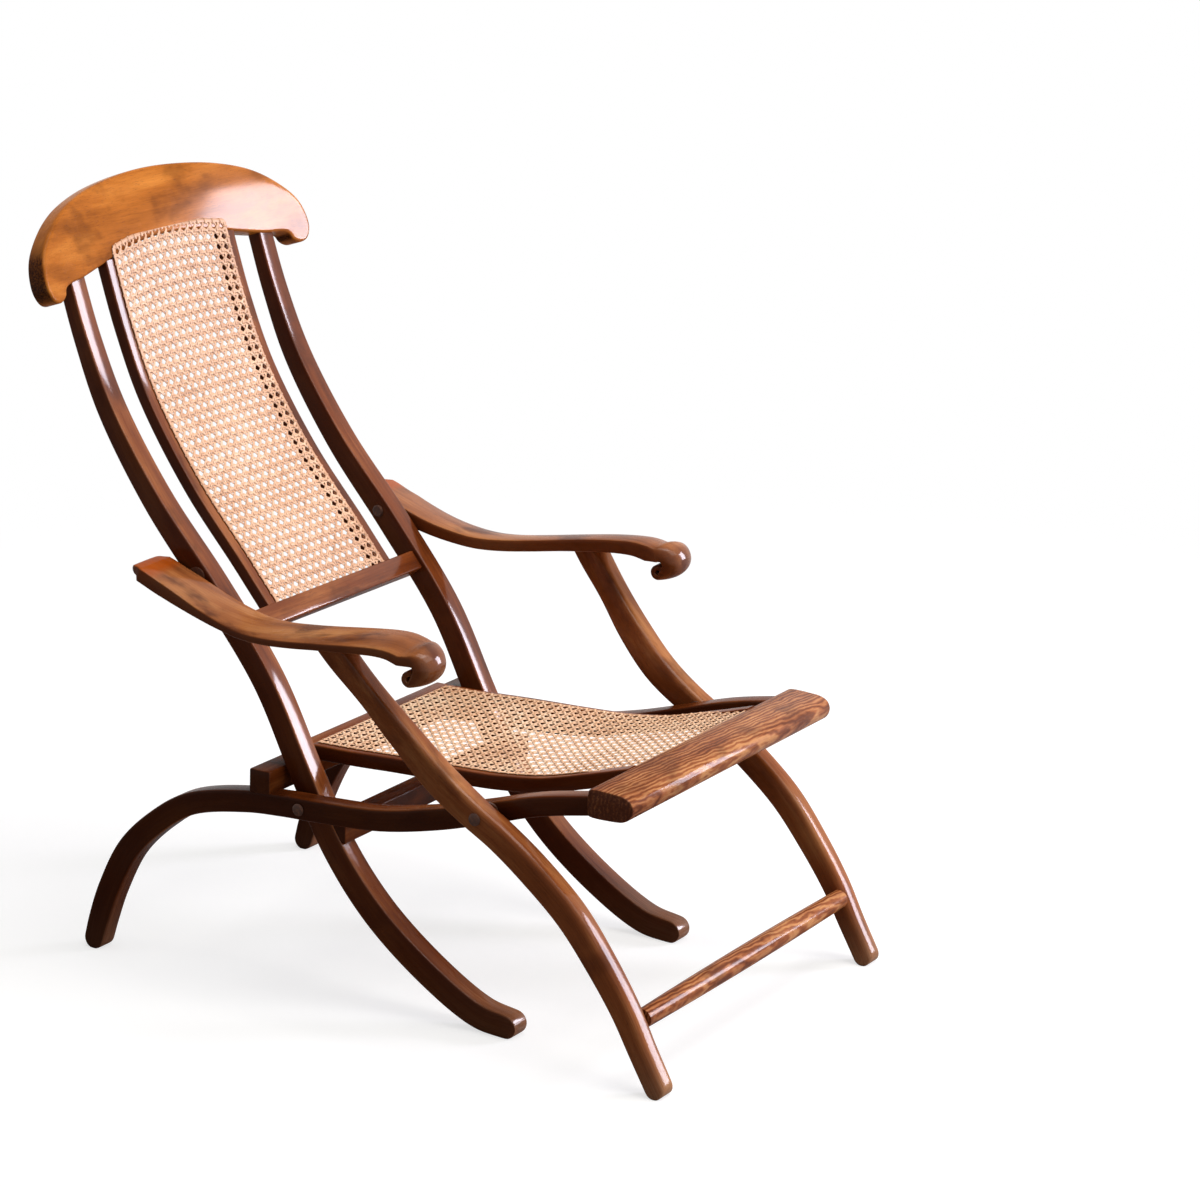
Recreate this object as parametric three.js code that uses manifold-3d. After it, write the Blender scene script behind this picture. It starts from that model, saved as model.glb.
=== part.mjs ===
// A folding deck chair in stained hardwood with a cane seat and a cane back.
// Millimetres. The chair faces -Y, +X is the sitter's left, and +Z is up.
// Every outline lies in the side view, as shares of the floor span and of the height.

import * as THREE from 'three';
import { mergeGeometries, mergeVertices } from 'three/addons/utils/BufferGeometryUtils.js';
import Module from 'manifold-3d';

const wasm = await Module();
wasm.setup();

// Overall sizes
const floorSpan = 862;
const chairHeight = 965;

// Fit between pieces
const touchGap = 0.3;
const boreClearance = 0.3;
const mergeTolerance = 0.001;
const cutOverrun = 60;

// The three side members, from the middle of the chair outwards
const stileInset = 190;
const stileThickness = 31;
const stileDepth = 34;
const stileWasher = 2.4;
const railThickness = 29;
const railDepth = 30;
const legWasher = 3.4;
const legThickness = 32;
const legDepth = 36;
const memberEdge = 3.2;
const legEdge = 5;

// Front board, stop bar and the rails that cross the back
const boardHalfLength = 254;
const boardDepth = 60;
const boardHeight = 34;
const stopBarDepth = 30;
const stopBarHeight = 30.5;
const barEdge = 1.5;
const crossRailDepth = 27;
const crossRailHeight = 31;
const crossRailInset = 2;
const lowerRailHeight = 27;
const lowerRailDepth = 22;
const lowerRailEdge = 3;

// Seat frame and seat cane
const seatHalfOpening = 141;
const seatRailWidth = 20;
const seatRailHeight = 19;
const seatEdge = 2.5;
const seatRearDepth = 18;
const caneThickness = 2.6;
const binderWidth = 7;
const binderThickness = 1.6;
const netOpeningShare = 0.66;
const seatNetColumns = 9;
const seatNetRows = 15;
const backNetColumns = 8;
const backNetRows = 17;

// Back slats and crest rail
const slatInset = 114;
const slatWidth = 26;
const slatDepth = 16;
const slatEdge = 2.5;
const crestHalfWidth = 290;
const crestRise = 88;
const crestThickness = 27;
const crestEdge = 4.5;
const crestBow = 20;
const crestAhead = 6.2;
const crestDrop = 11;
const crestLean = THREE.MathUtils.degToRad(19.3);

// Arms
const armThickness = 20;
const armWidth = 70;
const scrollRadius = 25;
const scrollWidth = 62;
const scrollInset = 236;
const legTopGap = 0.6;
const sideSplay = 32;

// Stretcher and pivots
const stretcherRadius = 12;
const stretcherBelly = 14;
const boltRadius = 4;
const headRadius = 8;
const headHeight = 2.4;
const nutRadius = 7;
const nutHeight = 4;
const washerRadius = 12;
const armBoltReach = 38;

// Places of the pivots, the stretcher and the scroll, as shares of span and height
const backPivotShares = [0.6241, 0.2549];
const legPivotShares = [0.3063, 0.3078];
const armPivotShares = [0.8283, 0.5244];
const stretcherShares = [0.0534, 0.087];
const scrollShares = [0.3898, 0.4948];
const legTopShare = 0.4966;
const armSplayShares = [0.47, 0.8283];
const legBendShare = 0.33;
const legSplayShare = 0.92;

// Places of the front board and of two bars, as shares: along the floor span, up the height
const boardPlaceShares = [0.15197, 0.3285];
const stopBarPlaceShares = [0.67401, 0.26456];
const crossRailPlaceShares = [0.5696, 0.20829];

// Centre lines of the members: share along, share up, share of the member's depth
const stileShares = [
  [0.297, 0.0145, 0.88], [0.3445, 0.0212, 0.97], [0.4223, 0.0575, 1], [0.5186, 0.1228, 1],
  [0.5905, 0.1984, 0.97], [0.6485, 0.2907, 0.94], [0.7146, 0.4005, 0.91], [0.8121, 0.5098, 0.92],
  [0.9118, 0.6124, 0.83], [0.9919, 0.7192, 0.74], [1.0348, 0.8041, 0.63], [1.0615, 0.8715, 0.58],
  [1.0775, 0.9171, 0.56],
];
const railShares = [
  [0.125, 0.346, 0.8], [0.2332, 0.3264, 0.84], [0.3225, 0.301, 0.9], [0.4026, 0.2798, 0.92],
  [0.4907, 0.2632, 0.92], [0.5812, 0.257, 0.93], [0.6589, 0.2539, 0.93], [0.7193, 0.2492, 0.95],
  [0.8144, 0.229, 0.96], [0.8724, 0.1948, 1], [0.9229, 0.1487, 1.03], [0.9582, 0.087, 1.03],
  [0.9756, 0.0415, 1], [0.9838, 0.0142, 0.95],
];
const legShares = [
  [0.0128, 0.0124, 0.7], [0.0394, 0.0539, 0.73], [0.0684, 0.101, 0.79], [0.109, 0.1534, 0.86],
  [0.1578, 0.2067, 0.92], [0.2193, 0.2539, 0.94], [0.2715, 0.287, 0.92], [0.3208, 0.313, 0.94],
  [0.3765, 0.3477, 1], [0.4299, 0.3943, 0.93], [0.4768, 0.4415, 0.8], [0.5174, 0.4829, 0.9],
  [0.5452, 0.515, 0.95],
];
const seatShares = [
  [0.137, 0.3684, 1], [0.2158, 0.3472, 1], [0.2935, 0.3285, 1], [0.3631, 0.3202, 1],
  [0.4269, 0.3171, 1], [0.5313, 0.314, 1], [0.6009, 0.3109, 1], [0.674, 0.3093, 1],
];
const lowerRailShare = 0.545;
const backTopShare = 1;

// The arm from its rear tip to the scroll: along, underside, thickness, inner edge, outer edge
const armShares = [
  [0.8956, 0.5435, 0.4, 0.3, 0.62], [0.8921, 0.5399, 0.65, 0.17, 0.75],
  [0.884, 0.5337, 0.86, 0.05, 0.84], [0.8701, 0.5254, 1, 0.01, 0.88],
  [0.848, 0.5145, 1.1, 0, 0.9], [0.8283, 0.5088, 1.15, 0, 0.91], [0.8086, 0.5026, 1.1, 0, 0.91],
  [0.7715, 0.4927, 1, 0, 0.92], [0.7343, 0.4855, 0.95, 0.01, 0.93], [0.6903, 0.4803, 0.9, 0.02, 0.95],
  [0.6508, 0.4808, 0.9, 0.04, 0.96], [0.5986, 0.4862, 0.9, 0.04, 0.98],
  [0.5545, 0.492, 0.9, 0.04, 0.99], [0.5174, 0.4962, 0.95, 0.04, 1],
  [0.4849, 0.4995, 1, 0.05, 1.01], [0.4501, 0.5027, 1, 0.06, 1.02],
  [0.4269, 0.504, 0.95, 0.09, 1.03], [0.4083, 0.503, 0.88, 0.14, 1.04],
  [0.3944, 0.4995, 0.84, 0.18, 1.04], [0.3851, 0.495, 0.7, 0.2, 1.02],
];

// Half of the crest rail's front view: share of the half width, share of the rise
const crestShares = [
  [0, 1], [0.26, 0.955], [0.5, 0.84], [0.71, 0.64], [0.86, 0.37], [0.965, 0.06], [1, -0.2],
  [0.99, -0.43], [0.94, -0.565], [0.885, -0.565], [0.85, -0.475], [0.82, -0.41], [0.7, -0.36],
  [0.55, -0.25], [0.38, -0.135], [0.19, -0.035],
];

// The front board's section: share of its depth forwards, share of its height
const boardShares = [
  [0, 0.05], [0, 0.95], [0.04, 1], [0.55, 1], [0.78, 0.95], [0.93, 0.82], [1, 0.6], [0.99, 0.38],
  [0.92, 0.18], [0.8, 0.05], [0.68, 0], [0.04, 0],
];

const stileColour = 0x5a2c1e;
const railColour = 0x3d1710;
const legColour = 0x6e3a22;
const armColour = 0x9a6a50;
const boardColour = 0xa86a3c;
const caneColour = 0xe0b882;
const backCaneColour = 0xe9cba6;
const metalColour = 0x4a4038;

const railInset = stileInset + stileThickness + stileWasher + 2 * touchGap;
const legInset = railInset + railThickness + legWasher + 2 * touchGap;
const armInset = railInset;
const legTop = chairHeight * legTopShare - legTopGap;
const [boardRear, boardUnderside] = place(boardPlaceShares);
const [stopBarFront, stopBarUnderside] = place(stopBarPlaceShares);
const [crossRailFront, crossRailUnderside] = place(crossRailPlaceShares);

function wood(colour) {
  return new THREE.MeshStandardMaterial({ color: colour, roughness: 0.38, metalness: 0 });
}

function cane(colour) {
  return new THREE.MeshStandardMaterial({ color: colour, roughness: 0.6, metalness: 0 });
}

function metal() {
  return new THREE.MeshStandardMaterial({ color: metalColour, roughness: 0.4, metalness: 0.9 });
}

function place(shares) {
  return [floorSpan * shares[0], chairHeight * shares[1]];
}

// A closed mesh as a solid for the cuts, and back again
function toSolid(geometry) {
  const bare = new THREE.BufferGeometry();
  bare.setAttribute('position', geometry.getAttribute('position').clone());
  if (geometry.index) bare.setIndex(geometry.index.clone());
  const merged = mergeVertices(bare, mergeTolerance);
  return new wasm.Manifold(new wasm.Mesh({
    numProp: 3,
    vertProperties: new Float32Array(merged.getAttribute('position').array),
    triVerts: new Uint32Array(merged.index.array),
  }));
}

function toGeometry(solid) {
  const mesh = solid.getMesh();
  const geometry = new THREE.BufferGeometry();
  geometry.setAttribute('position', new THREE.BufferAttribute(new Float32Array(mesh.vertProperties), 3));
  geometry.setIndex(new THREE.BufferAttribute(new Uint32Array(mesh.triVerts), 1));
  geometry.computeVertexNormals();
  return geometry;
}

function cut(geometry, ...tools) {
  let solid = toSolid(geometry);
  for (const tool of tools) solid = solid.subtract(toSolid(tool));
  return toGeometry(solid);
}

function join(...pieces) {
  let solid = toSolid(pieces[0]);
  for (const piece of pieces.slice(1)) solid = solid.add(toSolid(piece));
  return toGeometry(solid);
}

function block(x0, x1, y0, y1, z0, z1) {
  const geometry = new THREE.BoxGeometry(x1 - x0, y1 - y0, z1 - z0);
  return geometry.translate((x0 + x1) / 2, (y0 + y1) / 2, (z0 + z1) / 2);
}

// Turns a mesh drawn for the left side into its mirror image for the right side
function mirrored(geometry) {
  const copy = geometry.clone().scale(-1, 1, 1);
  const index = Array.from(copy.index.array);
  for (let i = 0; i < index.length; i += 3) {
    [index[i + 1], index[i + 2]] = [index[i + 2], index[i + 1]];
  }
  copy.setIndex(index);
  copy.computeVertexNormals();
  return copy;
}

// Brings a shape drawn in the side view and extruded away from it into the chair's axes
function fromSideView(geometry, x) {
  const axes = new THREE.Matrix4().makeBasis(
    new THREE.Vector3(0, 1, 0), new THREE.Vector3(0, 0, 1), new THREE.Vector3(1, 0, 0));
  return geometry.applyMatrix4(axes).translate(x, 0, 0);
}

function extruded(points, inset, thickness, edge, edgeSteps = 2) {
  const geometry = new THREE.ExtrudeGeometry(new THREE.Shape(points), {
    depth: thickness - 2 * edge,
    bevelEnabled: edge > 0,
    bevelThickness: edge,
    bevelSize: edge,
    bevelOffset: -edge,
    bevelSegments: edgeSteps,
  });
  return fromSideView(geometry, inset + edge);
}

function centreLine(shares, depth) {
  return new THREE.CatmullRomCurve3(shares.map(
    ([along, up, deep]) => new THREE.Vector3(floorSpan * along, chairHeight * up, depth * deep)),
  false, 'centripetal');
}

function roundCap(centre, from, steps = 7) {
  const points = [];
  const arm = new THREE.Vector2().subVectors(from, centre);
  for (let i = 1; i < steps; i += 1) {
    const turned = arm.clone().rotateAround(new THREE.Vector2(), -Math.PI * i / steps);
    points.push(turned.add(centre));
  }
  return points;
}

// The outline of a curved member along its centre line, with round or square ends.
// offset moves the whole band towards the chair's front, for a strip that lies on a face.
function memberOutline(curve, from, to, steps, { roundStart = false, roundEnd = false, offset = 0 } = {}) {
  const upper = [];
  const lower = [];
  const centres = [];
  for (let i = 0; i <= steps; i += 1) {
    const t = from + (to - from) * i / steps;
    const point = curve.getPoint(t);
    const tangent = curve.getTangent(t);
    const side = new THREE.Vector2(-tangent.y, tangent.x).normalize();
    const centre = new THREE.Vector2(point.x, point.y).addScaledVector(side, offset);
    centres.push(centre);
    upper.push(centre.clone().addScaledVector(side, point.z / 2));
    lower.push(centre.clone().addScaledVector(side, -point.z / 2));
  }
  const points = [...upper];
  if (roundEnd) points.push(...roundCap(centres[steps], upper[steps]));
  points.push(...lower.reverse());
  if (roundStart) points.push(...roundCap(centres[0], lower[steps]));
  return points;
}

// A bolt's bore or any other round rod along X, drawn for the left side
function rod(y, z, x0, x1, radius) {
  const geometry = new THREE.CylinderGeometry(radius, radius, x1 - x0, 20);
  return geometry.rotateZ(Math.PI / 2).translate((x0 + x1) / 2, y, z);
}

function turned(profile, segments) {
  const points = profile.map(([radius, along]) => new THREE.Vector2(radius, along));
  return new THREE.LatheGeometry(points, segments);
}

function alongX(geometry, x, y, z) {
  return geometry.rotateZ(-Math.PI / 2).translate(x, y, z);
}

function bore(shares, x0, x1) {
  const [y, z] = place(shares);
  return rod(y, z, x0, x1, boltRadius + boreClearance);
}

function floorCut() {
  return block(-2 * legInset, 2 * legInset, -floorSpan, 2 * floorSpan, -2 * cutOverrun, 0);
}

function stopBarBlock(grow) {
  const half = railInset + railThickness;
  return block(-half - grow, half + grow, stopBarFront - grow, stopBarFront + stopBarDepth + grow,
    stopBarUnderside - grow, stopBarUnderside + stopBarHeight + grow);
}

function crossRailBlock(grow) {
  const half = stileInset + stileThickness - crossRailInset;
  return block(-half - grow, half + grow, crossRailFront - grow, crossRailFront + crossRailDepth + grow,
    crossRailUnderside - grow, crossRailUnderside + crossRailHeight + grow);
}

function seatRail() {
  const curve = centreLine(railShares, railDepth);
  const outline = memberOutline(curve, 0, 1, 40, { roundEnd: true });
  const bar = extruded(outline, railInset, railThickness, memberEdge);
  const frontCut = block(0, 2 * legInset, -cutOverrun, boardRear + touchGap, 0, chairHeight);
  const outer = railInset + railThickness;
  return cut(bar, floorCut(), frontCut, stopBarBlock(touchGap),
    bore(backPivotShares, 0, outer + cutOverrun), bore(legPivotShares, 0, outer + cutOverrun));
}

function backStile(crest) {
  const curve = centreLine(stileShares, stileDepth);
  const outline = memberOutline(curve, 0, backTopShare, 44, { roundStart: true });
  const bar = extruded(outline, stileInset, stileThickness, memberEdge);
  const outer = stileInset + stileThickness;
  return cut(bar, floorCut(), crest, crossRailBlock(touchGap),
    bore(backPivotShares, 0, outer + cutOverrun), bore(armPivotShares, 0, outer + cutOverrun));
}

function frontLeg() {
  const curve = centreLine(legShares, legDepth);
  const outline = memberOutline(curve, 0, 1, 40, { roundStart: true });
  const bar = extruded(outline, legInset, legThickness, legEdge, 3);
  return splayed(cut(bar, floorCut(), overLeg(), bore(legPivotShares, 0, 2 * legInset)));
}

// The room over a front leg, down to a small gap under the arm
function overLeg() {
  const under = armShares.map(([along, up]) => new THREE.Vector2(
    floorSpan * along, chairHeight * up - legTopGap));
  const front = new THREE.Vector2(under.at(-1).x, chairHeight);
  return extruded([...under, front, new THREE.Vector2(under[0].x, chairHeight)], 0, 2 * legInset, 0);
}

// The upper part of a front leg leans out, as the arm above it does
function splayed(geometry) {
  const bend = chairHeight * legBendShare;
  const slope = sideSplay * legSplayShare / (legTop - bend);
  const [upper, lower] = toSolid(geometry).splitByPlane([0, 0, 1], bend);
  const lean = new THREE.Matrix4().set(1, 0, slope, -slope * bend, 0, 1, 0, 0, 0, 0, 1, 0, 0, 0, 0, 1);
  return join(toGeometry(lower), toGeometry(upper).applyMatrix4(lean));
}

function frontBoard() {
  const points = boardShares.map(([forward, up]) => new THREE.Vector2(
    boardRear - boardDepth * forward, boardUnderside + boardHeight * up));
  return extruded(points, -boardHalfLength, 2 * boardHalfLength, barEdge);
}

function barAcross(x, y0, y1, z0, z1, edge) {
  const points = [[y0, z0], [y1, z0], [y1, z1], [y0, z1]].map(([y, z]) => new THREE.Vector2(y, z));
  return extruded(points, -x, 2 * x, edge, 1);
}

function stopBar() {
  return barAcross(railInset + railThickness, stopBarFront, stopBarFront + stopBarDepth,
    stopBarUnderside, stopBarUnderside + stopBarHeight, barEdge);
}

function crossRail() {
  return barAcross(stileInset + stileThickness - crossRailInset, crossRailFront,
    crossRailFront + crossRailDepth, crossRailUnderside, crossRailUnderside + crossRailHeight, barEdge);
}

// The lower rail of the back stands square to the stiles where it meets them
function lowerRail(halfLength, grow) {
  const curve = centreLine(stileShares, stileDepth);
  const centre = curve.getPoint(lowerRailShare);
  const tangent = curve.getTangent(lowerRailShare);
  const height = lowerRailHeight + 2 * grow;
  const depth = lowerRailDepth + 2 * grow;
  const points = [[-height, -depth], [height, -depth], [height, depth], [-height, depth]].map(
    ([run, rise]) => new THREE.Vector2(run / 2, rise / 2)
      .rotateAround(new THREE.Vector2(), Math.atan2(tangent.y, tangent.x))
      .add(new THREE.Vector2(centre.x, centre.y)));
  return extruded(points, -halfLength, 2 * halfLength, grow > 0 ? 0 : lowerRailEdge);
}

// The crest rail: a flat board cut to the outline, bowed, leaned back and set on the stiles' ends
function crestRail(drop, thickness) {
  const half = crestShares.map(([across, up]) => [crestHalfWidth * across, crestRise * up]);
  const other = half.slice(1).reverse().map(([across, up]) => [-across, up]);
  const loop = [...half, [0, 0], ...other].map(([across, up]) => new THREE.Vector3(across, up, 0));
  const outline = new THREE.CatmullRomCurve3(loop, true, 'centripetal').getPoints(88).slice(0, -1);
  const geometry = new THREE.ExtrudeGeometry(
    new THREE.Shape(outline.map((point) => new THREE.Vector2(point.x, point.y))), {
      depth: thickness - 2 * crestEdge,
      bevelThickness: crestEdge,
      bevelSize: crestEdge,
      bevelOffset: -crestEdge,
      bevelSegments: 2,
    });
  geometry.translate(0, -drop, crestEdge - thickness / 2);
  const position = geometry.getAttribute('position');
  for (let i = 0; i < position.count; i += 1) {
    const share = position.getX(i) / crestHalfWidth;
    position.setZ(i, position.getZ(i) + crestBow * share * share);
  }
  const stileEnd = centreLine(stileShares, stileDepth).getPoint(backTopShare);
  return geometry.rotateX(Math.PI / 2 - crestLean)
    .translate(0, stileEnd.x + crestAhead, stileEnd.y - crestDrop);
}

function backSlat(crest) {
  const curve = centreLine(stileShares.map(([along, up]) => [along, up, 1]), slatDepth);
  const outline = memberOutline(curve, lowerRailShare, backTopShare, 24);
  const bar = extruded(outline, slatInset, slatWidth, slatEdge);
  return cut(bar, crest, lowerRail(stileInset, touchGap));
}

// The openings of a woven panel, one row in each flat stretch of its curve. The stretches at
// a closed end have none, since the frame holds the cane there.
function netOpenings(curve, from, rows, columns, half, offset, closedRows) {
  const pitch = 2 * half / columns;
  const width = pitch * netOpeningShare;
  const holes = [];
  for (let row = 0; row < rows; row += 1) {
    if (closedRows.includes(row)) continue;
    const start = curve.getPoint(from + (1 - from) * row / rows);
    const end = curve.getPoint(from + (1 - from) * (row + 1) / rows);
    const length = Math.hypot(end.x - start.x, end.y - start.y) * netOpeningShare;
    const [low, high] = [offset - 2 * caneThickness, offset + 2 * caneThickness];
    const hole = block(-width / 2, width / 2, -length / 2, length / 2, low, high)
      .rotateX(Math.atan2(end.y - start.y, end.x - start.x));
    for (let column = 0; column < columns; column += 1) {
      holes.push(hole.clone().translate(
        -half + pitch * (column + 0.5), (start.x + end.x) / 2, (start.y + end.y) / 2));
    }
  }
  return mergeGeometries(holes);
}

function backCane(crest) {
  const curve = centreLine(stileShares.map(([along, up]) => [along, up, 1]), caneThickness);
  const offset = (slatDepth - caneThickness) / 2;
  const outline = memberOutline(curve, lowerRailShare, backTopShare, backNetRows, { offset });
  const half = slatInset - touchGap;
  const sheet = extruded(outline, -half, 2 * half, 0);
  const openings = netOpenings(
    curve, lowerRailShare, backNetRows, backNetColumns, half, offset, [0, backNetRows - 1]);
  return cut(sheet, crest, lowerRail(stileInset, touchGap), openings);
}

function backBinder(crest) {
  const curve = centreLine(stileShares.map(([along, up]) => [along, up, 1]), binderThickness);
  const offset = (slatDepth + binderThickness) / 2 + touchGap;
  const outline = memberOutline(curve, lowerRailShare, backTopShare, 24, { offset });
  return cut(extruded(outline, slatInset, binderWidth, 0), crest, lowerRail(stileInset, touchGap));
}

function seatSideRail() {
  const curve = centreLine(seatShares, seatRailHeight);
  const outline = memberOutline(curve, 0, 1, 24, { offset: -seatRailHeight / 2 });
  const bar = extruded(outline, seatHalfOpening, seatRailWidth, seatEdge);
  const frontCut = block(0, legInset, -cutOverrun, boardRear + touchGap, 0, chairHeight);
  const rearCut = block(0, legInset, stopBarFront - touchGap, floorSpan, 0, chairHeight);
  return cut(bar, frontCut, rearCut);
}

function seatRearRail() {
  const top = chairHeight * seatShares[seatShares.length - 1][1];
  return barAcross(seatHalfOpening + seatRailWidth, stopBarFront, stopBarFront + seatRearDepth,
    stopBarUnderside + stopBarHeight + touchGap, top + touchGap, seatEdge);
}

function seatCane() {
  const curve = centreLine(seatShares, caneThickness);
  const outline = memberOutline(curve, 0, 1, seatNetRows, { offset: -caneThickness / 2 });
  const half = seatHalfOpening - touchGap;
  const frontCut = block(-legInset, legInset, -cutOverrun, boardRear + touchGap, 0, chairHeight);
  const rearCut = block(-legInset, legInset, stopBarFront - touchGap, floorSpan, 0, chairHeight);
  const openings = netOpenings(curve, 0, seatNetRows, seatNetColumns, half, -caneThickness / 2, [0]);
  return cut(extruded(outline, -half, 2 * half, 0), frontCut, rearCut, openings);
}

function seatBinder() {
  const curve = centreLine(seatShares, binderThickness);
  const offset = binderThickness / 2 + touchGap;
  const outline = memberOutline(curve, 0, 1, 24, { offset });
  const frontCut = block(0, legInset, -cutOverrun, boardRear + touchGap, 0, chairHeight);
  const rearCut = block(0, legInset, stopBarFront - touchGap, floorSpan, 0, chairHeight);
  return cut(extruded(outline, seatHalfOpening, binderWidth, 0), frontCut, rearCut);
}

// One ring of the arm's section: flat underneath, crowned on top, with rounded edges
function armRing(shares) {
  const [along, under, thick, inner, outer] = shares;
  const y = floorSpan * along;
  const z = chairHeight * under;
  const height = armThickness * thick;
  const splay = sideSplay * (1 - THREE.MathUtils.smoothstep(along, ...armSplayShares));
  const x0 = armInset + armWidth * inner + splay;
  const width = armWidth * (outer - inner);
  const sectionShares = [
    [0.06, 0], [0.015, 0.12], [0, 0.4], [0.03, 0.68], [0.12, 0.86], [0.3, 0.96], [0.5, 1],
    [0.7, 0.96], [0.88, 0.86], [0.97, 0.68], [1, 0.4], [0.985, 0.12], [0.94, 0],
  ];
  return sectionShares.map(([across, up]) => [x0 + width * across, y, z + height * up]);
}

function lofted(rings) {
  const count = rings[0].length;
  const index = [];
  rings.forEach((ring, r) => {
    if (r === 0) return;
    const here = r * count;
    const before = here - count;
    for (let i = 0; i < count; i += 1) {
      const next = (i + 1) % count;
      index.push(before + i, here + i, before + next, before + next, here + i, here + next);
    }
  });
  const last = (rings.length - 1) * count;
  for (let i = 1; i < count - 1; i += 1) {
    index.push(0, i, i + 1, last, last + i + 1, last + i);
  }
  const geometry = new THREE.BufferGeometry();
  geometry.setAttribute('position', new THREE.Float32BufferAttribute(rings.flat(2), 3));
  geometry.setIndex(index);
  return geometry;
}

function scroll() {
  const profileShares = [
    [0, 0], [0.62, 0], [0.86, 0.035], [0.97, 0.11], [1, 0.3], [1.02, 0.5], [1, 0.7], [0.97, 0.89],
    [0.86, 0.965], [0.62, 1], [0, 1],
  ];
  const drum = turned(profileShares.map(([out, along]) => [scrollRadius * out, scrollWidth * along]), 28);
  return alongX(drum, scrollInset + sideSplay, ...place(scrollShares));
}

function arm() {
  const body = lofted(armShares.map(armRing));
  const bolt = bore(armPivotShares, 0, armInset + armBoltReach + touchGap);
  return cut(join(body, scroll()), bolt);
}

function stretcher() {
  const half = legInset - touchGap;
  const bellyShares = [[0, 0], [1, 0], [1, 0.02], [1.03, 0.2], [1.08, 0.5]];
  const swell = (stretcherBelly - stretcherRadius) / (bellyShares[4][0] - 1);
  const side = bellyShares.map(([out, along]) => [
    out > 1 ? stretcherRadius + swell * (out - 1) : stretcherRadius * out, 2 * half * along]);
  const otherSide = side.slice(0, -1).reverse().map(([out, along]) => [out, 2 * half - along]);
  return alongX(turned([...side, ...otherSide], 20), -half, ...place(stretcherShares));
}

// A pivot bolt along X for the left side, with a round head at one end and a nut at the other
function pivotBolt(shares, xHead, xNut, nutSize) {
  const toNut = Math.sign(xNut - xHead);
  const reach = Math.abs(xNut - xHead);
  const profile = [
    [0, -headHeight], [headRadius * 0.8, -headHeight], [headRadius, -headHeight * 0.5], [headRadius, 0],
    [boltRadius, 0], [boltRadius, reach], [nutSize, reach], [nutSize, reach + nutHeight],
    [0, reach + nutHeight],
  ];
  const bolt = turned(nutSize > 0 ? profile : [...profile.slice(0, 6), [0, reach]], 20);
  const [y, z] = place(shares);
  const facing = toNut > 0 ? -Math.PI / 2 : Math.PI / 2;
  return bolt.rotateZ(facing).translate(xHead, y, z);
}

function washer(shares, x, thickness) {
  const inner = boltRadius + boreClearance;
  const ring = [[inner, 0], [washerRadius, 0], [washerRadius, thickness], [inner, thickness], [inner, 0]];
  return alongX(turned(ring, 24), x, ...place(shares));
}

const chair = new THREE.Group();
chair.name = 'deck_chair';

function add(name, geometry, material) {
  const mesh = new THREE.Mesh(geometry, material);
  mesh.name = name;
  chair.add(mesh);
}

function addPair(name, geometry, material) {
  const indexed = geometry.index ? geometry : mergeVertices(geometry, mergeTolerance);
  add(`${name}_left`, indexed, material);
  add(`${name}_right`, mirrored(indexed), material);
}

const crestCut = crestRail(touchGap, 2 * crestThickness);
const outerRail = railInset + railThickness;
const outerLeg = legInset + legThickness;
const outerStile = stileInset + stileThickness;

function addBase() {
  addPair('seat_rail', seatRail(), wood(railColour));
  add('front_board', frontBoard(), wood(boardColour));
  add('stop_bar', stopBar(), wood(railColour));
  addPair('seat_side_rail', seatSideRail(), wood(legColour));
  add('seat_rear_rail', seatRearRail(), wood(legColour));
  add('seat_cane', seatCane(), cane(caneColour));
  addPair('seat_cane_binder', seatBinder(), cane(caneColour));
  addPair('back_pivot_bolt', pivotBolt(backPivotShares, outerRail + touchGap,
    stileInset - touchGap, nutRadius), metal());
  addPair('back_pivot_washer', washer(backPivotShares, outerStile + touchGap, stileWasher), metal());
  addPair('leg_pivot_bolt', pivotBolt(legPivotShares, outerLeg + touchGap,
    railInset - touchGap, nutRadius), metal());
  addPair('leg_pivot_washer', washer(legPivotShares, outerRail + touchGap, legWasher), metal());
}

function addBack() {
  addPair('back_stile', backStile(crestCut), wood(stileColour));
  add('crest_rail', crestRail(0, crestThickness), wood(armColour));
  add('lower_back_rail', lowerRail(stileInset - touchGap, 0), wood(stileColour));
  addPair('back_slat', backSlat(crestCut), wood(stileColour));
  add('back_cane', backCane(crestCut), cane(backCaneColour));
  addPair('back_cane_binder', backBinder(crestCut), cane(backCaneColour));
  add('back_cross_rail', crossRail(), wood(railColour));
  addPair('arm_pivot_bolt', pivotBolt(armPivotShares, stileInset - touchGap,
    armInset + armBoltReach, 0), metal());
  addPair('arm_pivot_washer', washer(armPivotShares, outerStile + touchGap, stileWasher), metal());
}

function addLegs() {
  addPair('front_leg', frontLeg(), wood(legColour));
  add('front_stretcher', stretcher(), wood(boardColour));
}

addBase();
addBack();
addLegs();
addPair('arm', arm(), wood(armColour));

// The chair stands with the middle of its box over the origin
const box = new THREE.Box3().setFromObject(chair);
const middle = box.getCenter(new THREE.Vector3());
chair.position.set(-middle.x, -middle.y, -box.min.z);

const part = new THREE.Group();
part.name = 'steamer_deck_chair';
part.add(chair);
part.updateMatrixWorld(true);

export default part;
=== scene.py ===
# %% [markdown]
# # A folding deck chair with a cane seat
# The chair has three bent side members on each side: a back stile, a seat rail that ends in a
# rear leg, and a front leg. A crest rail, a front board and a few cross bars tie the sides
# together, two woven cane panels carry the sitter, and two arms end in scrolls.
# The imported model gives the places of all pieces. This script builds a finer, smoother piece
# for most of them and gives each piece its finish.

# %% Load the imported model
import math

import bmesh
import bpy
import numpy as np
from mathutils import Matrix, Vector
from mathutils.geometry import delaunay_2d_cdt


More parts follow.
